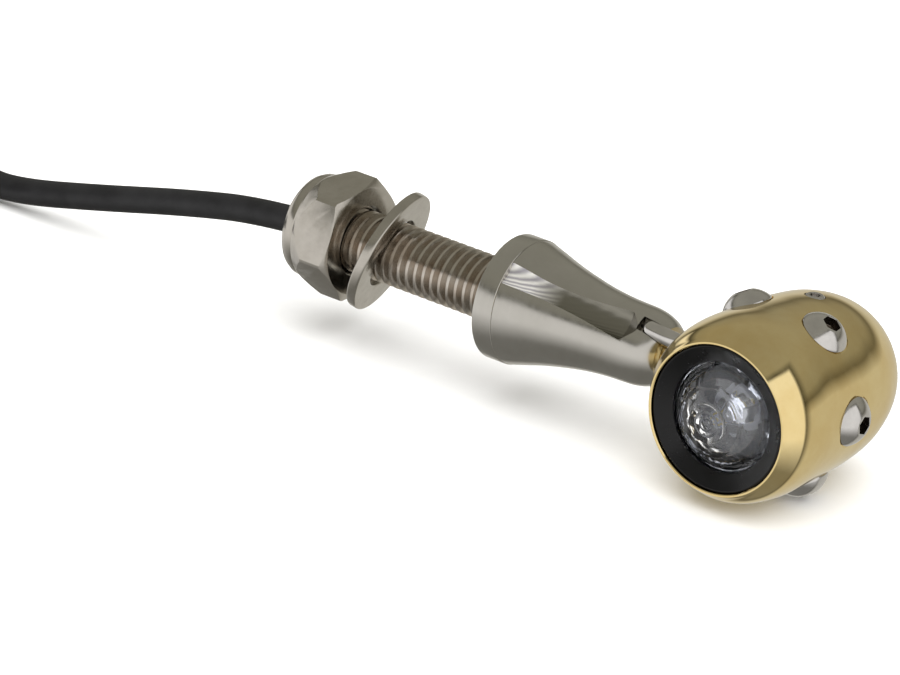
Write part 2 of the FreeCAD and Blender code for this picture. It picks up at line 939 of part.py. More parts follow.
def led_emitter():
    """LED package with its silicone dome."""
    half = D["led_side"] / 2
    base = block(
        "led_base",
        D["led_side"],
        D["led_thick"],
        D["led_side"],
        (
            D["head_offset"] - half,
            D["board_at"] - D["led_thick"] - D["rim_forward"],
            -half,
        ),
    )
    dome = doc.addObject("Part::Sphere", "led_dome")
    bind(dome, "Radius", D["led_dome"])
    place(dome, on_head(D["board_at"] - D["led_thick"]), Rotation())
    trim = cylinder(
        "led_trim",
        D["led_dome"] + D["led_trim"],
        D["led_dome"] * 2,
        on_head(D["board_at"] - D["led_thick"] / 2 - D["led_dome"] * 2),
        heading(Vector(0, 1, 0)),
    )
    return fused("led_emitter", base, common("led_lens", dome, trim))


def led_board():
    """Round aluminium-core board."""
    return ring(
        "led_board", NIL, D["board_radius"], D["board_at"], D["board_thick"], RIM, ALONG_Y
    )


def thermal_pad():
    start = D["board_at"] + D["board_thick"]
    return ring("thermal_pad", NIL, D["board_radius"], start, D["pad_thick"], RIM, ALONG_Y)


def heat_sink():
    """Aluminium core that takes the five screws and carries the board."""
    recess = D["sink_passage"] + D["sink_recess_wall"]
    recess_at = D["rim_forward"] + D["sink_recess_past"]
    blank = turned(
        "sink_blank",
        [
            (SINK_FRONT, NIL),
            (SINK_FRONT, D["sink_radius"]),
            (D["core_depth"], D["sink_radius"]),
            (D["core_depth"], recess),
            (recess_at, recess),
            (recess_at, NIL),
        ],
        RIM,
        ALONG_Y,
    )
    tools = [
        cylinder(
            "sink_side_passage",
            D["sink_passage"],
            D["sink_radius"] + D["sink_passage"] + D["sink_lead"],
            (D["head_offset"] - D["sink_radius"] - D["sink_lead"], 0, 0),
            heading(Vector(1, 0, 0)),
        ),
        cylinder(
            "sink_rear_passage",
            D["sink_rear_passage"],
            D["sink_recess_past"] * 2,
            (D["head_offset"], 0, 0),
            heading(Vector(0, 1, 0)),
        ),
    ]
    for angle in BUTTON_ANGLES:
        hole = from_axis(SCREW_HOLE_FOOT - mm("hole_past") * 2, mm("button_station"), angle)
        tools.append(
            cylinder(
                f"sink_hole_{angle}",
                D["button_shank"] + D["fit_gap"],
                D["button_length"],
                tuple(hole),
                heading(radial(angle)),
            )
        )
    return cut("heat_sink", blank, *tools)


def driver_board():
    return ring(
        "driver_board", NIL, D["driver_radius"], D["driver_at"], D["driver_thick"], RIM, ALONG_Y
    )


def driver_parts():
    """Coil, capacitor and regulator on the driver board's rear."""
    rear = D["driver_at"] + D["driver_thick"]
    back = heading(Vector(0, 1, 0))
    spot = on_head(rear)
    away = D["driver_radius"] / 2
    choke_at = (spot[0] + away, spot[1], D["choke_radius"])
    choke = cylinder("driver_choke", D["choke_radius"], D["choke_height"], choke_at, back)
    store_at = (spot[0] - away, spot[1], D["store_radius"])
    storage = cylinder("driver_capacitor", D["store_radius"], D["store_height"], store_at, back)
    wide = D["chip_length"]
    chip_at = (spot[0] - wide / 2, spot[1], -(away + wide / 2))
    chip = block("driver_chip", wide, D["chip_height"], wide, chip_at)
    return fused("driver_parts", choke, storage, chip)


# the wires start just inside the boss and bend once behind the heat sink
WIRE_START = 0.1
WIRE_BEND = 1.0


def head_wires():
    """Two wires from the boss through the heat sink to the driver board."""
    pair = []
    head = mm("head_offset")
    board = mm("driver_at") - mm("rim_forward")
    for letter, side in (("a", 1), ("b", -1)):
        level = side * mm("wire_apart")
        points = [
            Vector(BOSS_END.value + WIRE_START, 0, level),
            Vector(head, 0, level),
            Vector(head, board, level),
        ]
        pair.append(swept(f"head_wire_{letter}", points, mm("wire_radius"), WIRE_BEND))
    return fused("head_wires", *pair)


def button_screws():
    """Five button-head screws, one for each seat."""
    screws = []
    bevel = D["button_bevel"]
    rim = D["button_length"] + D["button_rim"]
    top_of_head = D["button_length"] + D["button_height"]
    for angle in BUTTON_ANGLES:
        out = radial(angle)
        base = from_axis(
            mm("button_face") - mm("button_length"), mm("button_station"), angle
        )
        blank = turned(
            f"button_blank_{angle}",
            [
                (NIL, NIL),
                (NIL, D["button_shank"] - bevel),
                (bevel, D["button_shank"]),
                (D["button_length"], D["button_shank"]),
                (D["button_length"], D["button_head"]),
                (rim, D["button_head"], (D["button_round"], 1)),
                (top_of_head, D["button_top"]),
                (top_of_head, NIL),
            ],
            tuple(base),
            Rotation(Vector(1, 0, 0), out),
        )
        top = from_axis(
            mm("button_face") + mm("button_height") - mm("socket_depth"),
            mm("button_station"),
            angle,
        )
        socket = hexagon(
            f"button_socket_{angle}", D["button_key"], D["socket_reach"], tuple(top), heading(out)
        )
        screws.append(cut(f"button_screw_{angle}", blank, socket))
    return fused("button_screws", *screws)


def grub_screw():
    """Set screw in the top of the bullet, behind the ring of screws."""
    base = from_axis(mm("grub_top") - mm("grub_length"), mm("grub_station"), 90)
    up = Vector(0, 0, 1)
    shank = cylinder("grub_shank", D["grub_radius"], D["grub_length"], tuple(base), heading(up))
    top = from_axis(mm("grub_top") - mm("socket_depth"), mm("grub_station"), 90)
    socket = hexagon("grub_socket", D["grub_key"], D["socket_reach"], tuple(top), heading(up))
    return cut("grub_screw", shank, socket)


# ---------------------------------------------------------------- lead: cable, coil, connector

# The cable's route from inside the stud to the side of the coil.
CABLE_ROUTE = [
    Vector(-32.0, 0.0, 0.0),
    Vector(-46.0, 0.0, -0.9),
    Vector(-61.0, -0.1, -4.2),
    Vector(-77.0, -0.7, -8.3),
    Vector(-92.0, -2.0, -11.6),
    Vector(-99.5, -2.3, -11.7),
    Vector(-107.0, 2.0, -11.7),
]
COIL_CENTRE = Vector(-124.0, -15.0, -11.7)
LEAVING_ANGLE = 240.0


# share of a run that each bend may use up
BEND_SHARE = 0.45


def cable_edges(route):
    """Straight runs with the largest arcs that their runs allow."""
    edges = []
    last = route[0]
    for before, here, after in zip(route, route[1:], route[2:]):
        coming = here.sub(before)
        going = after.sub(here)
        half = coming.getAngle(going) / 2
        trim = BEND_SHARE * min(coming.Length, going.Length)
        radius = trim / math.tan(half)
        print(f"cable bend at {here.x:.1f}: turn {math.degrees(2 * half):.1f}, radius {radius:.1f}")
        onward = Vector(going).normalize()
        back = Vector(coming).normalize()
        start = here.sub(back * trim)
        finish = here.add(onward * trim)
        inward = onward.sub(back).normalize()
        middle = here.add(inward * (radius / math.cos(half) - radius))
        edges.append(Part.LineSegment(last, start).toShape())
        edges.append(Part.Arc(start, middle, finish).toShape())
        last = finish
    edges.append(Part.LineSegment(last, route[-1]).toShape())
    return edges


def cable():
    """Sleeved two-core cable from the stud to the coil."""
    radius = mm("cable_diameter") / 2
    spine = Part.Wire(cable_edges(CABLE_ROUTE))
    direction = CABLE_ROUTE[1].sub(CABLE_ROUTE[0]).normalize()
    section = Part.Wire(Part.Circle(CABLE_ROUTE[0], direction, radius).toShape())
    solid = spine.makePipeShell([section], True, False)
    expected = math.pi * radius * radius * spine.Length
    print(f"cable length {spine.Length:.1f}, volume {solid.Volume:.1f} of {expected:.1f}")
    item = doc.addObject("Part::Feature", "cable")
    item.Shape = solid
    return item


def cable_coil():
    """Outer shape of the put-away turns: two side by side and one on top."""
    half = D["cable_diameter"]
    low = -D["cable_diameter"] / 2
    height = D["cable_diameter"] + D["coil_layer"]
    return ring(
        "cable_coil",
        D["coil_radius"] - half,
        D["coil_radius"] + half,
        low,
        height,
        tuple(COIL_CENTRE),
        Rotation(Vector(0, 1, 0), -90),
    )


def coil_tie():
    """Hook-and-loop strap round the turns."""
    thick = D["tie_thick"]
    play = mm("tie_play")
    tongue = mm("tie_tongue")
    wide = D["cable_diameter"] * 2 + play * 2
    high = D["cable_diameter"] + D["coil_layer"] + play * 2
    left = COIL_CENTRE.x - mm("coil_radius") - mm("cable_diameter") - play
    low = COIL_CENTRE.z - mm("cable_diameter") / 2 - play
    front = COIL_CENTRE.y - mm("tie_width") / 2
    outer = block(
        "tie_outer",
        wide + thick * 2 + tongue * 2,
        D["tie_width"],
        high + thick * 2,
        (left - mm("tie_thick") - tongue, front, low - mm("tie_thick")),
    )
    inner = block(
        "tie_inner",
        wide + tongue * 2,
        D["tie_width"] * 2,
        high,
        (left - tongue, front - mm("tie_width") / 2, low),
    )
    return cut("coil_tie", outer, inner)


def tail_point(turned_by):
    """Point of the inward bend after the last turn, and the direction there."""
    angle = math.radians(LEAVING_ANGLE)
    bend = mm("tail_bend")
    out = Vector(math.cos(angle), math.sin(angle), 0)
    pivot = COIL_CENTRE.add(out * (mm("coil_radius") - bend))
    pivot.z += mm("coil_layer") - mm("tail_drop")
    angle += math.radians(turned_by)
    out = Vector(math.cos(angle), math.sin(angle), 0)
    return pivot.add(out * bend), Vector(-out.y, out.x, 0)


def leaving_frame():
    """Where the lead meets the connector's boot, and its direction there."""
    return tail_point(mm("tail_turn"))


def cable_tail():
    """Bend of the lead from the turns into the open middle of the coil."""
    start, ahead = tail_point(mm("tail_hidden"))
    middle = tail_point((mm("tail_hidden") + mm("tail_turn")) / 2)[0]
    finish = tail_point(mm("tail_turn"))[0]
    spine = Part.Wire(Part.Arc(start, middle, finish).toShape())
    section = Part.Wire(Part.Circle(start, ahead, mm("cable_diameter") / 2).toShape())
    item = doc.addObject("Part::Feature", "cable_tail")
    item.Shape = spine.makePipeShell([section], True, False)
    return item


def connector_boot():
    """Tapered strain relief behind the connector."""
    start, ahead = leaving_frame()
    return turned(
        "connector_boot",
        [
            (NIL, NIL),
            (NIL, D["cable_diameter"] / 2 + D["boot_wall"]),
            (D["boot_length"], D["connector_radius"] - D["boot_step"]),
            (D["boot_length"], NIL),
        ],
        tuple(start),
        Rotation(Vector(1, 0, 0), ahead),
    )


def connector_frame():
    start, ahead = leaving_frame()
    return start.add(ahead * mm("boot_length")), ahead


def lead_connector():
    """Round two-pole plug body with an open socket end."""
    start, ahead = connector_frame()
    length = D["connector_length"]
    rim = D["connector_radius"]
    return turned(
        "lead_connector",
        [
            (NIL, NIL),
            (NIL, rim - D["connector_shoulder"]),
            (D["connector_shoulder"], rim),
            (length - D["connector_nose"], rim),
            (length, rim - D["connector_nose"]),
            (length, rim - D["connector_wall"]),
            (length - D["connector_socket"], rim - D["connector_wall"]),
            (length - D["connector_socket"], NIL),
        ],
        tuple(start),
        Rotation(Vector(1, 0, 0), ahead),
    )


def connector_pins():
    """Two brass contacts that stand in the plug's socket."""
    start, ahead = connector_frame()
    side = Vector(-ahead.y, ahead.x, 0)
    inner = start.add(ahead * (mm("connector_length") - mm("connector_socket")))
    along = heading(ahead)
    pins = []
    for letter, offset in (("a", mm("pin_apart")), ("b", -mm("pin_apart"))):
        foot = tuple(inner.add(side * offset))
        pins.append(cylinder(f"pin_{letter}", D["pin_radius"], D["pin_reach"], foot, along))
    return fused("connector_pins", *pins)


def connector_seal():
    """Rubber ring round the plug's nose."""
    start, ahead = connector_frame()
    return ring(
        "connector_seal",
        D["connector_radius"] + D["seal_play"],
        D["connector_radius"] + D["plug_seal_height"],
        D["plug_seal_at"],
        D["plug_seal_width"],
        tuple(start),
        Rotation(Vector(1, 0, 0), ahead),
    )


PIECES = [
    threaded_stud,
    base_collar,
    stem,
    clamp_screw,
    cable_grommet,
    lead_wires,
    flat_washer,
    lock_nut,
    nylon_insert,
    bullet_housing,
    boss_seal,
    bezel_ring,
    front_lens,
    lens_seal,
    collimator_optic,
    led_emitter,
    led_board,
    thermal_pad,
    heat_sink,
    driver_board,
    driver_parts,
    head_wires,
    button_screws,
    grub_screw,
    cable,
    cable_coil,
    cable_tail,
    coil_tie,
    connector_boot,
    lead_connector,
    connector_pins,
    connector_seal,
]


def check_document():
    for item in doc.Objects:
        if "Invalid" in item.State or "Error" in item.State:
            raise ValueError(f"{item.Label} failed: {item.State}")


def write_parts(parts):
    os.makedirs("parts", exist_ok=True)
    for part in parts:
        shape = part.Shape
        if shape.isNull() or not shape.isValid():
            raise ValueError(f"{part.Label}: shape is null or not valid")
        if not shape.Solids:
            raise ValueError(f"{part.Label}: no solid")
        shape.exportStep(f"parts/{part.Label}.step")
        box = shape.BoundBox
        print(
            f"{part.Label:18s} solids {len(shape.Solids)} volume {shape.Volume:9.2f} "
            f"x {box.XMin:.1f}..{box.XMax:.1f} y {box.YMin:.1f}..{box.YMax:.1f} "
            f"z {box.ZMin:.1f}..{box.ZMax:.1f}"
        )


def main():
    parts = [make() for make in PIECES]
    doc.recompute()
    check_document()
    write_parts(parts)


main()
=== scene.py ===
import logging
import math
from dataclasses import dataclass, field
from enum import Enum

import bmesh
import bpy
from mathutils import Matrix, Vector


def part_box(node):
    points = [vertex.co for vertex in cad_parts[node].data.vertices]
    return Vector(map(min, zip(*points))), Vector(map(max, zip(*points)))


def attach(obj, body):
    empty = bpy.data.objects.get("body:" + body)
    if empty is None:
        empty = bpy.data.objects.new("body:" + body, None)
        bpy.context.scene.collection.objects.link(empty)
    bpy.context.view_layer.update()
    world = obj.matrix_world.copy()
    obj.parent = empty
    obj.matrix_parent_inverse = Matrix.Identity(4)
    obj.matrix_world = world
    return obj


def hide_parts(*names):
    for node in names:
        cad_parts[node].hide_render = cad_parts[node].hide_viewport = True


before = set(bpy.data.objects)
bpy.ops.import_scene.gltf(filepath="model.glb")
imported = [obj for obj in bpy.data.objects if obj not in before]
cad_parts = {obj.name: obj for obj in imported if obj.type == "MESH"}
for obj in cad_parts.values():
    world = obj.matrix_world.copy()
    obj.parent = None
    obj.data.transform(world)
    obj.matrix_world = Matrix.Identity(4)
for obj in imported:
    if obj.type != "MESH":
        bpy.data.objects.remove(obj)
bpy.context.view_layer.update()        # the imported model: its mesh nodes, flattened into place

LOG = logging.getLogger("marker_light")
MM = 0.001

# A bullet marker light: polished brass shell on a turned stainless stem, with a hollow M10
# stud, lock nut, washer and a two-core lead. The stem lies along +X and the lens looks
# along -Y. Sizes in the classes are millimetres; meshes are metres.

Outline = list[tuple[float, float]]


class Around(Enum):
    """The row axis that a turned piece was spun about."""

    STEM = "X"
    BULLET = "Y"
    UPRIGHT = "Z"


class Cut(Enum):
    """What a tool does to the piece that it meets."""

    AWAY = "DIFFERENCE"
    JOIN = "UNION"
    SHARED = "INTERSECT"


# ------------------------------------------------------------------ small workshop tools


def linear(colour: str) -> tuple[float, float, float, float]:
    """Turn an sRGB hex colour into linear RGBA.

    Args:
        colour: six hex digits with a leading #.

    Returns:
        Linear red, green, blue and an alpha of one.
    """
    parts = [int(colour[i : i + 2], 16) / 255 for i in (1, 3, 5)]
    flat = [c / 12.92 if c <= 0.04045 else ((c + 0.055) / 1.055) ** 2.4 for c in parts]
    return (*flat, 1.0)


def add_node(tree: bpy.types.NodeTree, kind: str, settings: dict | None = None, **inputs) -> bpy.types.Node:
    """Add a node with its settings, and set or link its inputs.

    Args:
        tree: the tree that gets the node.
        kind: Blender's type name of the node.
        settings: attributes of the node itself.
        **inputs: socket name with _ for a space, or s0, s1 for a place in the list; a value
            is either a constant or the output socket that feeds it.

    Returns:
        The new node.
    """
    node = tree.nodes.new(kind)
    for name, value in (settings or {}).items():
        setattr(node, name, value)
    for name, value in inputs.items():
        place = int(name[1:]) if name[0] == "s" and name[1:].isdigit() else name.replace("_", " ")
        socket = node.inputs[place]
        if isinstance(value, bpy.types.NodeSocket):
            tree.links.new(value, socket)
        else:
            socket.default_value = value
    return node


def axis_frame(start: Vector, along: Vector) -> Matrix:
    """Place a piece drawn along +X at a start point, heading along a direction.

    Args:
        start: row position in millimetres.
        along: row direction of the piece's own +X.

    Returns:
        The matrix in millimetres.
    """
    turn = along.normalized().to_track_quat("X", "Z").to_matrix().to_4x4()
    return Matrix.Translation(start) @ turn


def mesh_piece(name: str, points: list, faces: list, place: Matrix | None = None) -> bpy.types.Object:
    """Make a closed mesh object from millimetre points, with outward faces.

    Args:
        name: the object's name.
        points: vertices in millimetres.
        faces: vertex indices of each face.
        place: where the mesh goes, in millimetres.

    Returns:
        The object, at the origin.
    """
    mesh = bpy.data.meshes.new(name)
    mesh.from_pydata([tuple(p) for p in points], [], faces)
    work = bmesh.new()
    work.from_mesh(mesh)
    bmesh.ops.remove_doubles(work, verts=work.verts, dist=1e-5)
    bmesh.ops.recalc_face_normals(work, faces=work.faces)
    work.to_mesh(mesh)
    work.free()
    mesh.transform(Matrix.Scale(MM, 4) @ (place or Matrix.Identity(4)))
    piece = bpy.data.objects.new(name, mesh)
    bpy.context.scene.collection.objects.link(piece)
    smooth(piece)
    return piece


def smooth(piece: bpy.types.Object, angle: float = 32.0) -> None:
    """Shade a piece smooth, with its edges kept crisp past an angle in degrees."""
    piece.data.polygons.foreach_set("use_smooth", [True] * len(piece.data.polygons))
    piece.data.set_sharp_from_angle(angle=math.radians(angle))


def eased(outline: Outline, reach: float, steps: int = 4) -> Outline:
    """Round every corner of a closed outline that isn't on the axis.

    Args:
        outline: (along, radius) corners.
        reach: how far along each edge a rounding may start.
        steps: points along each rounding.

    Returns:
        The outline with small arcs in place of its corners.
    """
    result = []
    count = len(outline)
    for i, (x, r) in enumerate(outline):
        here = Vector((x, r))
        if r < 1e-6:
            result.append((x, r))
            continue
        before, after = Vector(outline[i - 1]), Vector(outline[(i + 1) % count])
        back, onward = before - here, after - here
        if back.length < 1e-6 or onward.length < 1e-6 or back.angle(onward) > math.radians(165):
            result.append((x, r))
            continue
        trim = min(reach, 0.45 * back.length, 0.45 * onward.length)
        start, finish = here + back.normalized() * trim, here + onward.normalized() * trim
        for step in range(steps + 1):
            t = step / steps
            point = start * (1 - t) ** 2 + here * 2 * t * (1 - t) + finish * t * t
            result.append((point.x, max(point.y, 0.0)))
    return result


def turned(name: str, outline: Outline, place: Matrix | None = None, sides: int = 128) -> bpy.types.Object:
    """Spin a closed (along, radius) outline about its own X axis.

    Args:
        name: the object's name.
        outline: closed outline, in order.
        place: where it goes, in millimetres.
        sides: how many flats make the round.

    Returns:
        The turned piece.
    """
    points, rings = [], []
    for x, r in outline:
        if r < 1e-6:
            rings.append([len(points)])
            points.append((x, 0, 0))
            continue
        rings.append(list(range(len(points), len(points) + sides)))
        for k in range(sides):
            angle = 2 * math.pi * k / sides
            points.append((x, r * math.cos(angle), r * math.sin(angle)))
    faces = []
    for here, there in zip(rings, rings[1:] + rings[:1]):
        if len(here) == 1 and len(there) == 1:
            continue
        for k in range(sides):
            n = (k + 1) % sides
            corner = [here[k % len(here)], here[n % len(here)], there[n % len(there)], there[k % len(there)]]
            faces.append(list(dict.fromkeys(corner)))
    return mesh_piece(name, points, faces, place)


def prism(name: str, across: float, length: float, place: Matrix, spin: float = 0.0) -> bpy.types.Object:
    """Make a hexagon bar along its own X, with the distance between its flats given."""
    corner = across / math.sqrt(3)
    angles = [math.radians(60 * k + spin) for k in range(6)]
    points = [(x, corner * math.cos(a), corner * math.sin(a)) for x in (0, length) for a in angles]
    sides = [[k, (k + 1) % 6, 6 + (k + 1) % 6, 6 + k] for k in range(6)]
    return mesh_piece(name, points, [list(range(6)), list(range(6, 12)), *sides], place)


def rod(name: str, radius: float, length: float, place: Matrix, sides: int = 64) -> bpy.types.Object:
    """Make a plain round tool along its own X."""
    return turned(name, [(0, 0), (0, radius), (length, radius), (length, 0)], place, sides)


def settle(piece: bpy.types.Object) -> bpy.types.Object:
    """Turn a piece's modifiers into its plain mesh, and remove them."""
    graph = bpy.context.evaluated_depsgraph_get()
    mesh = bpy.data.meshes.new_from_object(piece.evaluated_get(graph))
    piece.modifiers.clear()
    piece.data = mesh
    return piece


def carve(piece: bpy.types.Object, tool: bpy.types.Object, cut: Cut = Cut.AWAY) -> bpy.types.Object:
    """Cut a tool out of a piece, join it, or keep what they share, and drop the tool."""
    step = piece.modifiers.new("cut", "BOOLEAN")
    step.operation = cut.value
    step.solver = "EXACT"
    step.object = tool
    bpy.context.view_layer.update()
    settle(piece)
    bpy.data.objects.remove(tool)
    return piece


def break_edges(piece: bpy.types.Object, width: float, angle: float = 30.0) -> bpy.types.Object:
    """Take the sharpness off machined edges with a small rounded bevel."""
    step = piece.modifiers.new("edges", "BEVEL")
    step.width = width * MM
    step.segments = 3
    step.limit_method = "ANGLE"
    step.angle_limit = math.radians(angle)
    step.use_clamp_overlap = True
    settle(piece)
    smooth(piece)
    return piece


def joined(name: str, pieces: list[bpy.types.Object]) -> bpy.types.Object:
    """Put several meshes into one object, with their materials kept."""
    work = bmesh.new()
    slots = []
    for piece in pieces:
        own = bmesh.new()
        own.from_mesh(piece.data)
        for face in own.faces:
            material = piece.data.materials[face.material_index] if piece.data.materials else None
            if material not in slots:
                slots.append(material)
            face.material_index = slots.index(material)
        scratch = bpy.data.meshes.new("scratch")
        own.to_mesh(scratch)
        work.from_mesh(scratch)
        own.free()
        bpy.data.meshes.remove(scratch)
    mesh = bpy.data.meshes.new(name)
    work.to_mesh(mesh)
    work.free()
    for material in slots:
        if material:
            mesh.materials.append(material)
    for piece in pieces:
        bpy.data.objects.remove(piece)
    result = bpy.data.objects.new(name, mesh)
    bpy.context.scene.collection.objects.link(result)
    return result


def dress(piece: bpy.types.Object, material: bpy.types.Material) -> bpy.types.Object:
    """Give a whole piece one material."""
    piece.data.materials.clear()
    piece.data.materials.append(material)
    return piece


def hand_over(piece: bpy.types.Object, body: str, slot: str, *nodes: str) -> bpy.types.Object:
    """Ride a finished piece on its body, and hide the nodes that it stands for."""
    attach(piece, body)
    if nodes:
        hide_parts(*nodes)
    LOG.info("%s rides on %s with %d faces", piece.name, body, len(getattr(piece.data, "polygons", [])))
    return piece


# ------------------------------------------------------------------ finishes


@dataclass(frozen=True)
class Finish:
    """A surface: its colours, how dull it is, and how the tool or mould left it."""

    name: str
    colour: str
    roughness: float

    def start(self) -> tuple[bpy.types.Material, bpy.types.NodeTree, bpy.types.Node, bpy.types.NodeSocket]:
        """Make the material with its shader.

        Returns:
            The material, its tree, the shader and the object coordinates.
        """
        material = bpy.data.materials.new(self.name)
        material.use_nodes = True
        tree = material.node_tree
        tree.nodes.clear()
        shader = add_node(tree, "ShaderNodeBsdfPrincipled", Roughness=self.roughness)
        add_node(tree, "ShaderNodeOutputMaterial", Surface=shader.outputs[0])
        shader.inputs["Base Color"].default_value = linear(self.colour)
        where = add_node(tree, "ShaderNodeTexCoord").outputs["Object"]
        return material, tree, shader, where

    def mottle(
        self, tree: bpy.types.NodeTree, where: bpy.types.NodeSocket, size: float, low: float, high: float
    ) -> bpy.types.NodeSocket:
        """Soft cloudy variation of a number over patches of a size in millimetres."""
        cloud = add_node(tree, "ShaderNodeTexNoise", Vector=where, Scale=1 / (size * MM), Detail=4.0, Roughness=0.6)
        spread = add_node(
            tree, "ShaderNodeMapRange", Value=cloud.outputs[0], From_Min=0.35, From_Max=0.65, To_Min=low, To_Max=high
        )
        return spread.outputs[0]

    def two_tone(
        self, tree: bpy.types.NodeTree, factor: bpy.types.NodeSocket, first: str, second: str
    ) -> bpy.types.NodeSocket:
        """Blend two colours by a factor."""
        blend = add_node(tree, "ShaderNodeMix", {"data_type": "RGBA"}, s0=factor, s6=linear(first), s7=linear(second))
        return blend.outputs[2]


@dataclass(frozen=True)
class TurnedMetal(Finish):
    """Metal off a lathe: fine rings round its axis, with soft handling marks over them."""

    around: Around = Around.STEM
    shade: str = "#8A867C"
    ring_pitch: float = 0.35
    ring_height: float = 0.002
    smear: float = 0.06
    middle: tuple[float, float, float] = (0.0, 0.0, 0.0)

    def material(self) -> bpy.types.Material:
        """Build the material."""
        material, tree, shader, where = self.start()
        shader.inputs["Metallic"].default_value = 1.0
        along = 1 / (self.ring_pitch * MM)
        stretch = [along * 0.02] * 3
        stretch["XYZ".index(self.around.value)] = along
        rings = add_node(
            tree,
            "ShaderNodeMapping",
            Vector=where,
            Location=tuple(-m * MM * s for m, s in zip(self.middle, stretch)),
            Scale=tuple(stretch),
        )
        marks = add_node(tree, "ShaderNodeTexNoise", Vector=rings.outputs[0], Scale=1.0, Detail=3.0)
        dull = self.mottle(tree, where, 4.0, self.roughness - self.smear, self.roughness + self.smear)
        fine = add_node(
            tree, "ShaderNodeMapRange", Value=marks.outputs[0], From_Min=0.3, From_Max=0.7, To_Min=-0.03, To_Max=0.03
        )
        both = add_node(tree, "ShaderNodeMath", {"operation": "ADD"}, s0=dull, s1=fine.outputs[0])
        tree.links.new(both.outputs[0], shader.inputs["Roughness"])
        stain = self.mottle(tree, where, 7.0, 0.0, 1.0)
        tree.links.new(self.two_tone(tree, stain, self.colour, self.shade), shader.inputs["Base Color"])
        bump = add_node(
            tree, "ShaderNodeBump", Strength=1.0, Distance=self.ring_height * MM, Height=marks.outputs[0]
        )
        tree.links.new(bump.outputs[0], shader.inputs["Normal"])
        return material


@dataclass(frozen=True)
class TumbledMetal(Finish):
    """Small steel hardware: pressed or rolled, tumbled bright, with a fine grain all ways."""

    shade: str = "#8E8880"
    grain: float = 0.25
    grain_height: float = 0.004

    def material(self) -> bpy.types.Material:
        """Build the material."""
        material, tree, shader, where = self.start()
        shader.inputs["Metallic"].default_value = 1.0
        grit = add_node(tree, "ShaderNodeTexNoise", Vector=where, Scale=1 / (self.grain * MM), Detail=3.0)
        dull = self.mottle(tree, where, 1.6, self.roughness - 0.05, self.roughness + 0.07)
        tree.links.new(dull, shader.inputs["Roughness"])
        stain = self.mottle(tree, where, 2.6, 0.0, 1.0)
        tree.links.new(self.two_tone(tree, stain, self.colour, self.shade), shader.inputs["Base Color"])
        bump = add_node(
            tree, "ShaderNodeBump", Strength=1.0, Distance=self.grain_height * MM, Height=grit.outputs[0]
        )
        tree.links.new(bump.outputs[0], shader.inputs["Normal"])
        return material


@dataclass(frozen=True)
class MilledMetal(Finish):
    """Steel from an end mill: slanting tool marks that scatter the light, painted bright where the floor is lit and
    painted shade further along.
    """

    mark_pitch: float = 0.55
    mark_height: float = 0.02
    slant: float = 68.0
    # where the painted light ends and the painted shade begins, in millimetres along X
    painted_lit_until: float = 7.5
    painted_shade_from: float = 12.5

    def material(self) -> bpy.types.Material:
        """Build the material."""
        material, tree, shader, where = self.start()
        laid = add_node(
            tree, "ShaderNodeMapping", Vector=where, Rotation=(0.0, 0.0, math.radians(self.slant)), Scale=(1.0, 1.0, 1.0)
        )
        marks = add_node(
            tree,
            "ShaderNodeTexWave",
            {"bands_direction": "X"},
            Vector=laid.outputs[0],
            Scale=0.314 / (self.mark_pitch * MM),
            Distortion=1.2,
            Detail=2.0,
        )
        # painted light along X: the floor is painted bright where it is lit near the collar, then fades to painted
        # shade further along
        along = add_node(tree, "ShaderNodeSeparateXYZ", Vector=where).outputs["X"]
        fade = add_node(
            tree,
            "ShaderNodeMapRange",
            Value=along,
            From_Min=self.painted_lit_until * MM,
            From_Max=self.painted_shade_from * MM,
            To_Min=0.0,
            To_Max=1.0,
        ).outputs[0]
        lit_marks = self.two_tone(tree, marks.outputs["Fac"], self.colour, "#98959A")
        # the lit tone of the tool marks blends into a darker painted shade colour along X
        tone = add_node(tree, "ShaderNodeMix", {"data_type": "RGBA"}, s0=fade, s6=lit_marks, s7=linear("#8C897F"))
        tree.links.new(tone.outputs[2], shader.inputs["Base Color"])
        # the same painted-light fade makes the lit end less metallic, so it shows brighter under the lamps
        metal = add_node(tree, "ShaderNodeMapRange", Value=fade, To_Min=0.6, To_Max=1.0)
        tree.links.new(metal.outputs[0], shader.inputs["Metallic"])
        bump = add_node(
            tree, "ShaderNodeBump", Strength=1.0, Distance=self.mark_height * MM, Height=marks.outputs["Fac"]
        )
        tree.links.new(bump.outputs[0], shader.inputs["Normal"])
        return material


@dataclass(frozen=True)
class Moulded(Finish):
    """Rubber, plastic, paint or board: a coloured skin with a fine moulded texture."""

    shade: str = "#101010"
    texture: float = 0.4
    depth: float = 0.01
    spread: float = 0.06
    metallic: float = 0.0
    specular: float = 0.5

    def material(self) -> bpy.types.Material:
        """Build the material."""
        material, tree, shader, where = self.start()
        shader.inputs["Metallic"].default_value = self.metallic
        shader.inputs["Specular IOR Level"].default_value = self.specular
        skin = add_node(tree, "ShaderNodeTexNoise", Vector=where, Scale=1 / (self.texture * MM), Detail=2.0)
        dull = self.mottle(tree, where, 3.0, self.roughness - self.spread, self.roughness + self.spread)
        tree.links.new(dull, shader.inputs["Roughness"])
        wear = self.mottle(tree, where, 5.0, 0.0, 1.0)
        tree.links.new(self.two_tone(tree, wear, self.colour, self.shade), shader.inputs["Base Color"])
        bump = add_node(tree, "ShaderNodeBump", Strength=1.0, Distance=self.depth * MM, Height=skin.outputs[0])
        tree.links.new(bump.outputs[0], shader.inputs["Normal"])
        return material


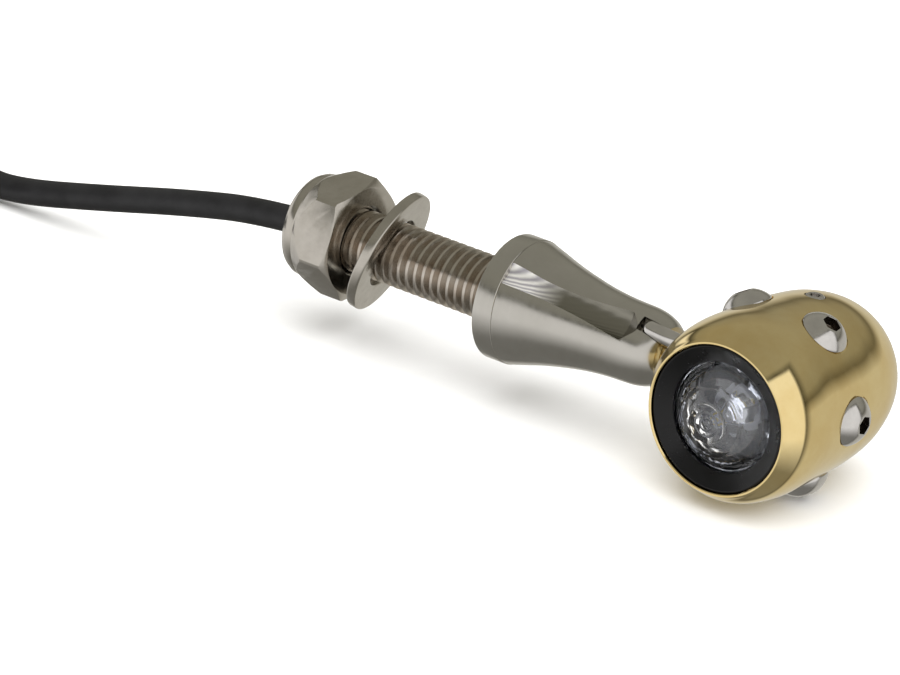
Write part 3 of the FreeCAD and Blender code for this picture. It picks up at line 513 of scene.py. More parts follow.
@dataclass(frozen=True)
class ClearPlastic(Finish):
    """Clear moulded acrylic: light passes through, with faint flow lines in the skin."""

    ior: float = 1.49
    ripple: float = 1.8
    depth: float = 0.01

    def material(self) -> bpy.types.Material:
        """Build the material."""
        material, tree, shader, where = self.start()
        shader.inputs["Transmission Weight"].default_value = 1.0
        shader.inputs["IOR"].default_value = self.ior
        flow = add_node(tree, "ShaderNodeTexNoise", Vector=where, Scale=1 / (self.ripple * MM), Detail=1.0)
        bump = add_node(tree, "ShaderNodeBump", Strength=1.0, Distance=self.depth * MM, Height=flow.outputs[0])
        tree.links.new(bump.outputs[0], shader.inputs["Normal"])
        return material


# Brass, turned and buffed to a mirror, lacquered: warm reflections, faint rings and haze.
POLISHED_BRASS = TurnedMetal(
    "polished_brass", "#EED9A2", 0.075, Around.BULLET, "#E6CD92", 1.1, 0.0004, 0.02, (46.64, 0.0, 0.0)
)
# Stainless steel, turned and then tumbled: satin, a soft streak of light and dull top.
TURNED_STAINLESS = TurnedMetal("turned_stainless", "#C2BFB9", 0.22, Around.STEM, "#BBB8B1", 0.5, 0.0008, 0.02)
# Slot left by a milling cutter: scattering floor with slanting tool marks, painted bright where it is lit near the
# collar and painted shade further along.
MILLED_STAINLESS = MilledMetal("milled_stainless", "#DEDCD8", 0.36)
# Cut flanks of a rolled stainless thread: warmer and brighter along the crests.
ROLLED_THREAD = TumbledMetal("rolled_thread", "#C3BDB5", 0.2, "#B9AEA2", 0.5, 0.0008)
# Cold-pressed stainless nut and washer: satin with pressing grain.
PRESSED_STAINLESS = TumbledMetal("pressed_stainless", "#BDB8B0", 0.2, "#B6B1A8", 0.8, 0.0006)
# Button-head screws, polished stainless: bright clean domes.
BRIGHT_SCREW = TumbledMetal("bright_screw", "#D3D0CD", 0.17, "#C8C5C2", 0.5, 0.0006)
# Recessed keyways and holes: a dark colour painted in as the shade inside the recess.
PAINTED_SHADE_RECESS = TumbledMetal("recess_painted_shade", "#8E857B", 0.25, "#4B4540", 0.5, 0.004)
# Aluminium bezel, black hard anodised: a soft dark satin.
BLACK_ANODISED = Moulded("black_anodised", "#08080A", 0.3, "#050506", 0.12, 0.002, 0.05, 0.0, 0.3)
# PVC sleeve of the cable: matte black with a faint drawn texture.
CABLE_SLEEVE = Moulded("cable_sleeve_pvc", "#1A1A1C", 0.52, "#101012", 0.5, 0.012, 0.06, 0.0, 0.4)
BLACK_RUBBER = Moulded("black_rubber", "#141414", 0.62, "#0C0C0C", 0.3, 0.01, 0.06, 0.0, 0.35)
CONNECTOR_NYLON = Moulded("connector_glass_nylon", "#1B1B1D", 0.42, "#121213", 0.25, 0.012, 0.06)
WOVEN_STRAP = Moulded("woven_strap", "#1D1D20", 0.8, "#111113", 0.35, 0.09, 0.05, 0.0, 0.2)
NATURAL_NYLON = Moulded("natural_nylon", "#D8D2C0", 0.5, "#C9C2AE", 0.5, 0.01, 0.06)
WHITE_MASK = Moulded("white_solder_mask", "#C9CACE", 0.4, "#B4B5BA", 0.3, 0.006, 0.05)
GREEN_MASK = Moulded("green_solder_mask", "#1D5B36", 0.32, "#174A2C", 0.3, 0.006, 0.05)
COMPONENT = Moulded("moulded_component", "#1A1A1B", 0.45, "#101011", 0.2, 0.006, 0.05)
SILICONE_PAD = Moulded("silicone_pad", "#8B9096", 0.7, "#7C8187", 0.4, 0.01, 0.05)
WIRE_SLEEVE = Moulded("wire_sleeve", "#A3231C", 0.4, "#8A1B16", 0.4, 0.004, 0.05)
LED_SILICONE = Moulded("led_silicone", "#D9C46A", 0.2, "#CBB45A", 0.3, 0.003, 0.05)
SINK_ALUMINIUM = TurnedMetal(
    "machined_aluminium", "#9A9CA1", 0.34, Around.BULLET, "#84868C", 0.3, 0.004, 0.05, (46.64, 0.0, 0.0)
)
CONTACT_BRASS = TumbledMetal("contact_brass", "#D9B765", 0.22, "#C4A04F", 0.2, 0.002)
# Reflector cup round the light, grey and slightly dusty.
GREY_CUP = Moulded("grey_cup", "#4A4A50", 0.42, "#38383D", 0.5, 0.01, 0.08, 0.2, 0.4)
CLEAR_LENS = ClearPlastic("clear_lens", "#F4F5F8", 0.03, 1.49, 1.6, 0.008)
CLEAR_OPTIC = ClearPlastic("clear_optic", "#EEF0F6", 0.08, 1.49, 0.9, 0.02)


# ------------------------------------------------------------------ studio


@dataclass
class Studio:
    """Camera, pale floor and soft light."""

    eye: tuple[float, float, float] = (0.40986, -0.62281, 0.29025)
    right: tuple[float, float, float] = (0.7995, 0.5908, 0.1083)
    up: tuple[float, float, float] = (-0.3027, 0.2405, 0.9223)
    back: tuple[float, float, float] = (0.5188, -0.7702, 0.3711)
    lens_mm: float = 217.57
    floor_at: float = -14.4

    def camera(self) -> None:
        """Set the camera at the viewing angle."""
        data = bpy.data.cameras.new("camera")
        data.lens = self.lens_mm
        data.sensor_width = 36.0
        data.clip_start = 0.01
        data.clip_end = 100.0
        view = bpy.data.objects.new("camera", data)
        turn = Matrix((self.right, self.up, self.back)).transposed().to_4x4()
        view.matrix_world = Matrix.Translation(self.eye) @ turn
        bpy.context.scene.collection.objects.link(view)
        bpy.context.scene.camera = view
        LOG.info("camera set")

    def floor(self) -> None:
        """Lay the pale floor just under the lead."""
        reach = 6.0 / MM
        points = [(-reach, -reach, 0), (reach, -reach, 0), (reach, reach, 0), (-reach, reach, 0)]
        floor = mesh_piece("floor", points, [[0, 1, 2, 3]], Matrix.Translation((0, 0, self.floor_at)))
        paper = Moulded("matt_paper", "#F2F2F2", 0.9, "#F0F0F0", 2.0, 0.001, 0.03, 0.0, 0.1)
        dress(floor, paper.material())
        floor.visible_glossy = False

    def lamp(self, name: str, at: tuple, aim: tuple, size: float, power: float, mirrored: bool) -> None:
        """Hang one square soft light.

        Args:
            name: the lamp's name.
            at: where it hangs, in metres.
            aim: the point that it faces.
            size: its side, in metres.
            power: its power in watts.
            mirrored: whether polished metal shows it.
        """
        data = bpy.data.lights.new(name, "AREA")
        data.shape = "SQUARE"
        data.size = size
        data.energy = power
        lamp = bpy.data.objects.new(name, data)
        lamp.location = at
        lamp.rotation_euler = (Vector(aim) - Vector(at)).to_track_quat("-Z", "Y").to_euler()
        lamp.visible_glossy = mirrored
        lamp.visible_camera = False
        bpy.context.scene.collection.objects.link(lamp)

    def light(self) -> None:
        """Hang the lamps and set the room's tone: dull overhead, pale near the floor."""
        self.lamp("overhead", (0.2, 0.1, 3.0), (0, 0, 0), 7.0, 330.0, False)
        self.lamp("side_fill", (1.6, -2.4, 1.4), (0, 0, 0), 2.4, 30.0, False)
        world = bpy.data.worlds.new("room")
        bpy.context.scene.world = world
        world.use_nodes = True
        tree = world.node_tree
        tree.nodes.clear()
        where = add_node(tree, "ShaderNodeTexCoord").outputs["Generated"]
        way = add_node(tree, "ShaderNodeSeparateXYZ", Vector=where).outputs
        ramp = add_node(tree, "ShaderNodeValToRGB", Fac=way["Z"])
        tones = ramp.color_ramp.elements
        tones[0].position, tones[0].color = 0.06, linear("#CFCDC5")
        tones[1].position, tones[1].color = 1.0, linear("#9F9D93")
        for position, tone in ((0.16, "#A6A398"), (0.24, "#6E6B60"), (0.36, "#97958A"), (0.6, "#A3A196")):
            tones.new(position).color = linear(tone)
        # a white card stands low in front and to the right, under a dark ledge
        lean = add_node(tree, "ShaderNodeMath", {"operation": "MAXIMUM"}, s0=way["X"], s1=0.0)
        rise = add_node(tree, "ShaderNodeMath", {"operation": "MULTIPLY_ADD"}, s0=lean.outputs[0], s1=-0.9, s2=way["Z"])
        behind = add_node(tree, "ShaderNodeMath", {"operation": "SUBTRACT"}, s0=way["Y"], s1=0.14)
        edge = add_node(tree, "ShaderNodeMath", {"operation": "MAXIMUM"}, s0=rise.outputs[0], s1=behind.outputs[0])
        card = add_node(tree, "ShaderNodeValToRGB", Fac=edge.outputs[0])
        steps = card.color_ramp.elements
        steps[0].position, steps[0].color = 0.21, (1.0, 1.0, 1.0, 1.0)
        steps[1].position, steps[1].color = 0.29, (0.0, 0.0, 0.0, 1.0)
        ledge = add_node(
            tree, "ShaderNodeMapRange", Value=edge.outputs[0], From_Min=0.3, From_Max=0.42, To_Min=0.8, To_Max=0.0
        )
        shade = add_node(tree, "ShaderNodeMix", {"data_type": "RGBA"}, s0=ledge.outputs[0], s6=ramp.outputs[0])
        shade.inputs[7].default_value = linear("#3E3D35")
        # the card thins out towards the floor, so round metal darkens again underneath
        low = add_node(
            tree, "ShaderNodeMapRange", Value=way["Z"], From_Min=-0.8, From_Max=-0.3, To_Min=0.1, To_Max=1.0
        )
        share = add_node(tree, "ShaderNodeMath", {"operation": "MULTIPLY"}, s0=card.outputs[0], s1=low.outputs[0])
        lit = add_node(tree, "ShaderNodeMix", {"data_type": "RGBA"}, s0=share.outputs[0], s6=shade.outputs[2])
        lit.inputs[7].default_value = (1.02, 1.01, 0.99, 1.0)
        ground = add_node(tree, "ShaderNodeBackground", Color=lit.outputs[2], Strength=1.0)
        add_node(tree, "ShaderNodeOutputWorld", Surface=ground.outputs[0])
        bpy.context.scene.view_settings.view_transform = "Standard"
        LOG.info("studio lit")


# ------------------------------------------------------------------ lead


@dataclass
class Lead:
    """Two-core lead: out of the hollow stud, down to the surface, and wound up to its plug."""

    diameter: float = 4.2
    route: tuple = (
        (-32.0, 0.0, 0.0),
        (-46.0, 0.0, -0.9),
        (-61.0, -0.1, -4.2),
        (-77.0, -0.7, -8.3),
        (-92.0, -2.0, -11.6),
        (-99.5, -2.3, -11.7),
    )
    coil_middle: tuple[float, float] = (-124.0, -15.0)
    # the turns: angle in degrees, radius, height; the first lies outside, the second inside
    # it, and the last climbs over the first crossing and settles between the two
    turns: tuple = (
        (60, 23.3, -11.7),
        (330, 23.3, -11.7),
        (400, 19.1, -11.7),
        (640, 19.1, -11.7),
        (660, 19.1, -10.7),
        (680, 19.1, -9.3),
        (700, 19.4, -8.0),
        (720, 20.2, -7.4),
        (740, 21.0, -7.35),
        (760, 21.2, -7.4),
        (780, 21.2, -7.65),
        (800, 21.2, -8.03),
        (960, 21.2, -8.03),
    )
    step: float = 20.0
    leaving: float = 960.0
    tail_bend: float = 9.5
    tail_turn: float = 120.0
    tail_level: float = -8.16
    # the way in over the inner turn: turned-by angle and height
    tail_steps: tuple = ((15, -7.85), (45, -7.25), (75, -7.45), (105, -8.1))

    def at_turn(self, angle: float) -> tuple[float, float]:
        """Radius and height of the lead at an angle along the coil."""
        for (a, r, z), (b, q, w) in zip(self.turns, self.turns[1:]):
            if angle <= b:
                share = (angle - a) / (b - a)
                return r + (q - r) * share, z + (w - z) * share
        return self.turns[-1][1:]

    def coil_points(self) -> list[Vector]:
        """Points of the wound turns, from the side where the lead arrives.

        Returns:
            Control points in millimetres. A smooth line through such points runs a little
            inside them, so they stand out by that much.
        """
        points = []
        pull = 0.75 + 0.25 * math.cos(math.radians(self.step))
        angle = self.turns[0][0] + self.step / 2
        while angle < self.leaving:
            radius, level = self.at_turn(angle)
            turn = math.radians(angle)
            x = self.coil_middle[0] + radius / pull * math.cos(turn)
            y = self.coil_middle[1] + radius / pull * math.sin(turn)
            points.append(Vector((x, y, level)))
            angle += self.step
        return points

    def tail_points(self) -> list[Vector]:
        """Points of the bend that brings the lead's end into the middle of its coil."""
        turn = math.radians(self.leaving)
        reach = self.turns[-1][1] - self.tail_bend
        x, y = (c + reach * f(turn) for c, f in zip(self.coil_middle, (math.cos, math.sin)))
        pull = 0.75 + 0.25 * math.cos(math.radians(30))
        points = []
        for turned_by, level in self.tail_steps:
            angle = math.radians(self.leaving + turned_by)
            out = self.tail_bend / pull
            points.append(Vector((x + out * math.cos(angle), y + out * math.sin(angle), level)))
        angle = math.radians(self.leaving + self.tail_turn)
        end = Vector((x + self.tail_bend * math.cos(angle), y + self.tail_bend * math.sin(angle), self.tail_level))
        points.append(end + Vector((-math.sin(angle), math.cos(angle), 0)) * 1.0)
        return points

    def cord(self) -> bpy.types.Object:
        """Draw the lead as one smooth line with its real thickness."""
        points = [Vector(p) for p in self.route] + self.coil_points() + self.tail_points()
        curve = bpy.data.curves.new("lead_cable", "CURVE")
        curve.dimensions = "3D"
        line = curve.splines.new("NURBS")
        line.points.add(len(points) - 1)
        for spot, point in zip(line.points, points):
            spot.co = (*(point * MM), 1.0)
        line.order_u = 3
        line.use_endpoint_u = True
        line.resolution_u = 10
        curve.bevel_depth = self.diameter / 2 * MM
        curve.bevel_resolution = 6
        curve.use_fill_caps = True
        lead = bpy.data.objects.new("lead_cable", curve)
        bpy.context.scene.collection.objects.link(lead)
        curve.materials.append(CABLE_SLEEVE.material())
        return lead

    def build(self) -> None:
        """Lay the lead, tie it, and dress its plug."""
        lead = self.cord()
        hand_over(lead, "mount", "cable_black", "cable", "cable_coil", "cable_tail")
        for name, finish in (
            ("connector_boot", BLACK_RUBBER),
            ("lead_connector", CONNECTOR_NYLON),
            ("connector_seal", BLACK_RUBBER),
            ("connector_pins", CONTACT_BRASS),
        ):
            dress_node(name, finish)
        self.tie()

    def tie(self) -> None:
        """Wrap the rounded strap round the turns."""
        low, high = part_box("coil_tie")
        middle = (low + high) / 2 / MM
        half = (high - low) / 2 / MM
        thick = 0.5
        ring = []
        for inset in (0.0, thick):
            w, h, r = half.x - inset, half.z - inset, 1.6 - inset
            loop = []
            for corner in range(4):
                cx = (w - r) * (1 if corner in (0, 3) else -1)
                cz = (h - r) * (1 if corner < 2 else -1)
                for k in range(7):
                    a = math.radians(90 * corner + 15 * k)
                    loop.append((cx + r * math.cos(a), cz + r * math.sin(a)))
            ring.append(loop)
        count = len(ring[0])
        points = [(x, y, z) for y in (-half.y, half.y) for loop in ring for x, z in loop]
        faces = []
        for k in range(count):
            n = (k + 1) % count
            outer, inner = 0, count
            far = 2 * count
            faces.append([outer + k, outer + n, inner + n, inner + k])
            faces.append([far + outer + k, far + outer + n, far + inner + n, far + inner + k])
            faces.append([outer + k, outer + n, far + outer + n, far + outer + k])
            faces.append([inner + k, inner + n, far + inner + n, far + inner + k])
        strap = mesh_piece("hook_loop_strap", points, faces, Matrix.Translation(middle))
        dress(strap, WOVEN_STRAP.material())
        hand_over(strap, "mount", "strap", "coil_tie")


def dress_node(name: str, finish: Finish) -> None:
    """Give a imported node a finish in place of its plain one."""
    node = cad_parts[name]
    material = finish.material()
    for slot in node.material_slots:
        slot.material = material


# ------------------------------------------------------------------ stem, stud and hardware


@dataclass
class Stem:
    """Turned stem with its collar, key channel and clamp screw."""

    thick: float = 3.4
    collar: float = 9.6
    cone_end: float = 24.2
    nose_end: float = 28.6
    profile: tuple = (
        (3.4, 9.25),
        (3.6, 9.45),
        (5.5, 8.93),
        (9.1, 7.9),
        (12.8, 7.06),
        (16.4, 6.42),
        (20.0, 6.06),
        (23.4, 5.94),
        (24.8, 5.84),
        (26.2, 5.56),
        (27.4, 5.1),
        (28.2, 4.6),
        (28.6, 4.2),
    )
    bore: float = 2.8
    channel: float = 2.9
    channel_height: float = 11.7
    channel_slope: float = 13.2
    channel_angle: float = 44.0
    channel_length: float = 20.6
    channel_tip: float = 2.6
    clamp: float = 1.28
    clamp_angle: float = 56.0
    clamp_slope: float = 9.5

    def around(self, x: float, height: float, angle: float) -> Vector:
        """Point at a height from the stem's axis, at an angle above -Y."""
        turn = math.radians(angle)
        return Vector((x, -height * math.cos(turn), height * math.sin(turn)))

    def sloped(self, angle: float, slope: float) -> Vector:
        """Direction along the stem that sinks towards its axis by a slope in degrees."""
        fall, turn = math.radians(slope), math.radians(angle)
        inward = Vector((0, math.cos(turn), -math.sin(turn)))
        return Vector((math.cos(fall), 0, 0)) + inward * math.sin(fall)

    def cone(self) -> bpy.types.Object:
        """Turn the hollow-sided cone and cut its channel and screw hole."""
        sides = spline_outline(list(self.profile), 44)
        inside = [(self.nose_end, self.bore), (self.thick + 8.0, self.bore), (self.thick + 8.0, 0), (self.thick, 0)]
        body = turned("stem_cone", sides + inside, None, 160)
        along = self.sloped(self.channel_angle, self.channel_slope)
        start = self.around(self.thick, self.channel_height, self.channel_angle)
        lead = 4.0
        tip = self.channel_tip
        tool = turned(
            "channel_tool",
            [
                (0, 0),
                (0, self.channel),
                (self.channel_length + lead, self.channel),
                (self.channel_length + lead + tip, 0),
            ],
            axis_frame(start - along * lead, along),
            72,
        )
        dress(body, TURNED_STAINLESS.material())
        body.data.materials.append(MILLED_STAINLESS.material())
        carve(body, tool)
        self.mark_channel(body, start, along)
        clamp_start, clamp_along = self.clamp_frame()
        seat = rod("clamp_tool", self.clamp + 0.08, 8.0, axis_frame(clamp_start - clamp_along * 0.6, clamp_along), 48)
        carve(body, seat)
        break_edges(body, 0.12, 34.0)
        return body

    def mark_channel(self, body: bpy.types.Object, start: Vector, along: Vector) -> None:
        """Give the milled finish to the faces that the channel's cutter left."""
        for polygon in body.data.polygons:
            offset = polygon.center / MM - start
            sideways = offset - along * offset.dot(along)
            on_wall = abs(sideways.length - self.channel) < 0.06
            inward = polygon.normal.dot(sideways.normalized()) < -0.8
            polygon.material_index = 1 if on_wall and inward else 0

    def clamp_frame(self) -> tuple[Vector, Vector]:
        """Start and direction of the clamp screw."""
        start = self.around(self.nose_end - 3.2, 5.0, self.clamp_angle)
        return start, self.sloped(self.clamp_angle, self.clamp_slope)

    def clamp_screw(self) -> bpy.types.Object:
        """Turn the clamp screw with its rounded end."""
        start, along = self.clamp_frame()
        r, end = self.clamp, 6.4
        nose = [(r * (1 - math.cos(a)) * 0.9, r * math.sin(a)) for a in (math.radians(15 * k) for k in range(7))]
        tail = [(end - 0.9, r), (end - 0.3, r * 0.75), (end, r * 0.35), (end, 0)]
        screw = turned("clamp_screw_bright", nose + tail, axis_frame(start, along), 48)
        dress(screw, BRIGHT_SCREW.material())
        return screw

    def build(self) -> None:
        """Make the stem's pieces and hand them over."""
        hand_over(self.cone(), "mount", "stainless", "stem")
        rim = [(0, 5.0), (0, self.collar), (self.thick, self.collar), (self.thick, 5.0)]
        collar = turned("mounting_collar", eased(rim, 0.22), None, 160)
        dress(collar, TURNED_STAINLESS.material())
        hand_over(collar, "mount", "stainless", "base_collar")
        hand_over(self.clamp_screw(), "mount", "nut_steel", "clamp_screw")
        dress_node("lead_wires", WIRE_SLEEVE)
        dress_node("cable_grommet", BLACK_RUBBER)


def spline_outline(corners: Outline, count: int) -> Outline:
    """Smooth curve through the corners of an outline.

    Args:
        corners: (along, radius) points that the curve passes through.
        count: how many points the curve gets.

    Returns:
        Points of a centripetal curve through the corners, ends included.
    """
    knots = [Vector(c) for c in corners]
    first, last = knots[0] * 2 - knots[1], knots[-1] * 2 - knots[-2]
    chain = [first, *knots, last]
    result = []
    spans = len(knots) - 1
    for i in range(count + 1):
        t = i / count * spans
        span = min(int(t), spans - 1)
        u = t - span
        a, b, c, d = chain[span : span + 4]
        point = 0.5 * (
            2 * b + (c - a) * u + (2 * a - 5 * b + 4 * c - d) * u * u + (3 * b - a - 3 * c + d) * u**3
        )
        result.append((point.x, max(point.y, 0.0)))
    return result


@dataclass
class Stud:
    """Hollow M10 stud with a real helical thread."""

    reach: float = 38.4
    crest: float = 4.925
    depth: float = 0.92
    pitch: float = 1.5
    bore: float = 2.7
    turn_steps: int = 72
    section_turn: float = 90.0

    def thread_tree(self) -> bpy.types.NodeTree:
        """Build the tree that winds the thread's ridge round a core.

        Returns:
            A geometry tree with named inputs for the thread's sizes.
        """
        tree = bpy.data.node_groups.new("thread_ridge", "GeometryNodeTree")
        for name, kind in (
            ("Core", "NodeSocketGeometry"),
            ("Root Radius", "NodeSocketFloat"),
            ("Depth", "NodeSocketFloat"),
            ("Pitch", "NodeSocketFloat"),
            ("Length", "NodeSocketFloat"),
            ("Steps", "NodeSocketInt"),
            ("Metal", "NodeSocketMaterial"),
        ):
            tree.interface.new_socket(name, in_out="INPUT", socket_type=kind)
        tree.interface.new_socket("Geometry", in_out="OUTPUT", socket_type="NodeSocketGeometry")
        given = add_node(tree, "NodeGroupInput").outputs
        turns = add_node(tree, "ShaderNodeMath", {"operation": "DIVIDE"}, s0=given["Length"], s1=given["Pitch"])
        spiral = add_node(
            tree,
            "GeometryNodeCurveSpiral",
            Resolution=given["Steps"],
            Rotations=turns.outputs[0],
            Start_Radius=given["Root Radius"],
            End_Radius=given["Root Radius"],
            Height=given["Length"],
        )
        level = add_node(tree, "GeometryNodeSetCurveNormal", {"mode": "Z_UP"}, Curve=spiral.outputs[0])
        base = add_node(tree, "ShaderNodeMath", {"operation": "MULTIPLY"}, s0=given["Pitch"], s1=0.9)
        top = add_node(tree, "ShaderNodeMath", {"operation": "MULTIPLY"}, s0=given["Pitch"], s1=0.27)
        tall = add_node(tree, "ShaderNodeMath", {"operation": "MULTIPLY"}, s0=given["Depth"], s1=2.0)
        section = add_node(
            tree,
            "GeometryNodeCurvePrimitiveQuadrilateral",
            {"mode": "TRAPEZOID"},
            Bottom_Width=base.outputs[0],
            Top_Width=top.outputs[0],
            Offset=0.0,
            Height=given["Depth"],
        )
        lift = add_node(tree, "ShaderNodeMath", {"operation": "MULTIPLY"}, s0=tall.outputs[0], s1=-0.22)
        shift = add_node(tree, "ShaderNodeCombineXYZ", X=lift.outputs[0])
        raised = add_node(
            tree, "GeometryNodeTransform", Geometry=section.outputs[0], Translation=shift.outputs[0]
        )
        raised.inputs["Rotation"].default_value = (0.0, 0.0, math.radians(self.section_turn))
        swept = add_node(tree, "GeometryNodeCurveToMesh", Curve=level.outputs[0], Profile_Curve=raised.outputs[0])
        swept.inputs["Fill Caps"].default_value = True
        both = add_node(tree, "GeometryNodeJoinGeometry")
        tree.links.new(swept.outputs[0], both.inputs[0])
        tree.links.new(given["Core"], both.inputs[0])
        real = add_node(tree, "GeometryNodeRealizeInstances", Geometry=both.outputs[0])
        metal = add_node(tree, "GeometryNodeSetMaterial", Geometry=real.outputs[0], Material=given["Metal"])
        add_node(tree, "NodeGroupOutput", Geometry=metal.outputs[0])
        return tree

    def build(self) -> None:
        """Wind the thread and hand the stud over."""
        root = self.crest - self.depth
        upright = Matrix.Rotation(-math.pi / 2, 4, "Y")
        inner_end = self.reach + 2.6
        outline = [(0.0, self.bore), (0.0, root - 0.25), (0.3, root), (inner_end, root), (inner_end, self.bore)]
        core = turned("threaded_stud_core", outline, upright, 96)
        step = core.modifiers.new("thread", "NODES")
        tree = self.thread_tree()
        step.node_group = tree
        values = {
            "Root Radius": root * MM,
            "Depth": self.depth * MM,
            "Pitch": self.pitch * MM,
            "Length": (self.reach + 1.5) * MM,
            "Steps": self.turn_steps,
            "Metal": ROLLED_THREAD.material(),
        }
        set_inputs(step, values)
        settle(core)
        core.data.transform(Matrix.Translation((-self.reach * MM, 0, 0)) @ Matrix.Rotation(math.pi / 2, 4, "Y"))
        core.name = "m10_stud"
        smooth(core, 25.0)
        hand_over(core, "mount", "stainless", "threaded_stud")


def set_inputs(step: bpy.types.Modifier, values: dict) -> None:
    """Set a geometry modifier's inputs by the identifier of each named socket."""
    for item in step.node_group.interface.items_tree:
        if item.item_type == "SOCKET" and item.in_out == "INPUT" and item.name in values:
            step[item.identifier] = values[item.name]


@dataclass
class Hardware:
    """Lock nut and washer on the stud."""

    face_at: float = -27.5
    across: float = 17.0
    height: float = 10.0
    hex_height: float = 7.3
    crown: float = 8.05
    bore: float = 4.985
    turned_by: float = 13.3
    washer_at: float = -22.5
    washer_tilt: float = 20.0
    washer_heading: float = 28.8

    def nut(self) -> bpy.types.Object:
        """Cut the hexagon with its chamfers and its round crown."""
        corner = self.across / math.sqrt(3)
        flank = self.across / 2
        outline = [
            (0, self.bore + 0.55),
            (0, flank - 0.1),
            (0.7, corner - 0.15),
            (self.hex_height - 2.9, corner - 0.15),
            (self.hex_height - 1.3, flank + 0.25),
            (self.hex_height - 0.1, self.crown + 0.2),
            (self.hex_height, self.crown - 0.2),
            (self.hex_height + 0.25, self.crown),
            (self.hex_height + 1.2, self.crown - 0.05),
            (self.hex_height + 2.0, self.crown - 0.45),
            (self.hex_height + 2.5, self.crown - 1.05),
            (self.height, self.crown - 1.6),
            (self.height, self.bore + 1.05),
            (self.height - 0.3, self.bore + 1.05),
            (self.height - 0.3, self.bore + 1.3),
            (self.height - 2.7, self.bore + 1.3),
            (self.height - 2.7, self.bore),
            (0.55, self.bore),
        ]
        place = axis_frame(Vector((self.face_at, 0, 0)), Vector((-1, 0, 0)))
        nut = turned("lock_nut_pressed", outline, place, 144)
        bar = prism("nut_bar", self.across, self.height + 2, Matrix.Identity(4))
        bar.data.transform(Matrix.Rotation(math.radians(self.turned_by), 4, "X"))
        bar.data.transform(Matrix.Translation(((self.face_at - self.height - 1) * MM, 0, 0)))
        carve(nut, bar, Cut.SHARED)
        break_edges(nut, 0.16, 24.0)
        dress(nut, PRESSED_STAINLESS.material())
        return nut

    def washer(self) -> bpy.types.Object:
        """Turn the washer and lean it on the thread."""
        outline = [(-0.8, 5.6), (-0.8, 9.85), (0.8, 9.85), (0.8, 5.6)]
        side = Matrix.Rotation(math.radians(self.washer_heading), 4, "X")
        lean = side @ Matrix.Rotation(math.radians(self.washer_tilt), 4, "Y")
        place = Matrix.Translation((self.washer_at, 0, 0)) @ lean
        washer = turned("flat_washer_pressed", eased(outline, 0.35), place, 144)
        dress(washer, PRESSED_STAINLESS.material())
        return washer

    def build(self) -> None:
        """Make the nut and washer and hand them over."""
        hand_over(self.nut(), "nut", "nut_steel", "lock_nut")
        hand_over(self.washer(), "washer", "nut_steel", "flat_washer")
        dress_node("nylon_insert", NATURAL_NYLON)


# ------------------------------------------------------------------ bullet


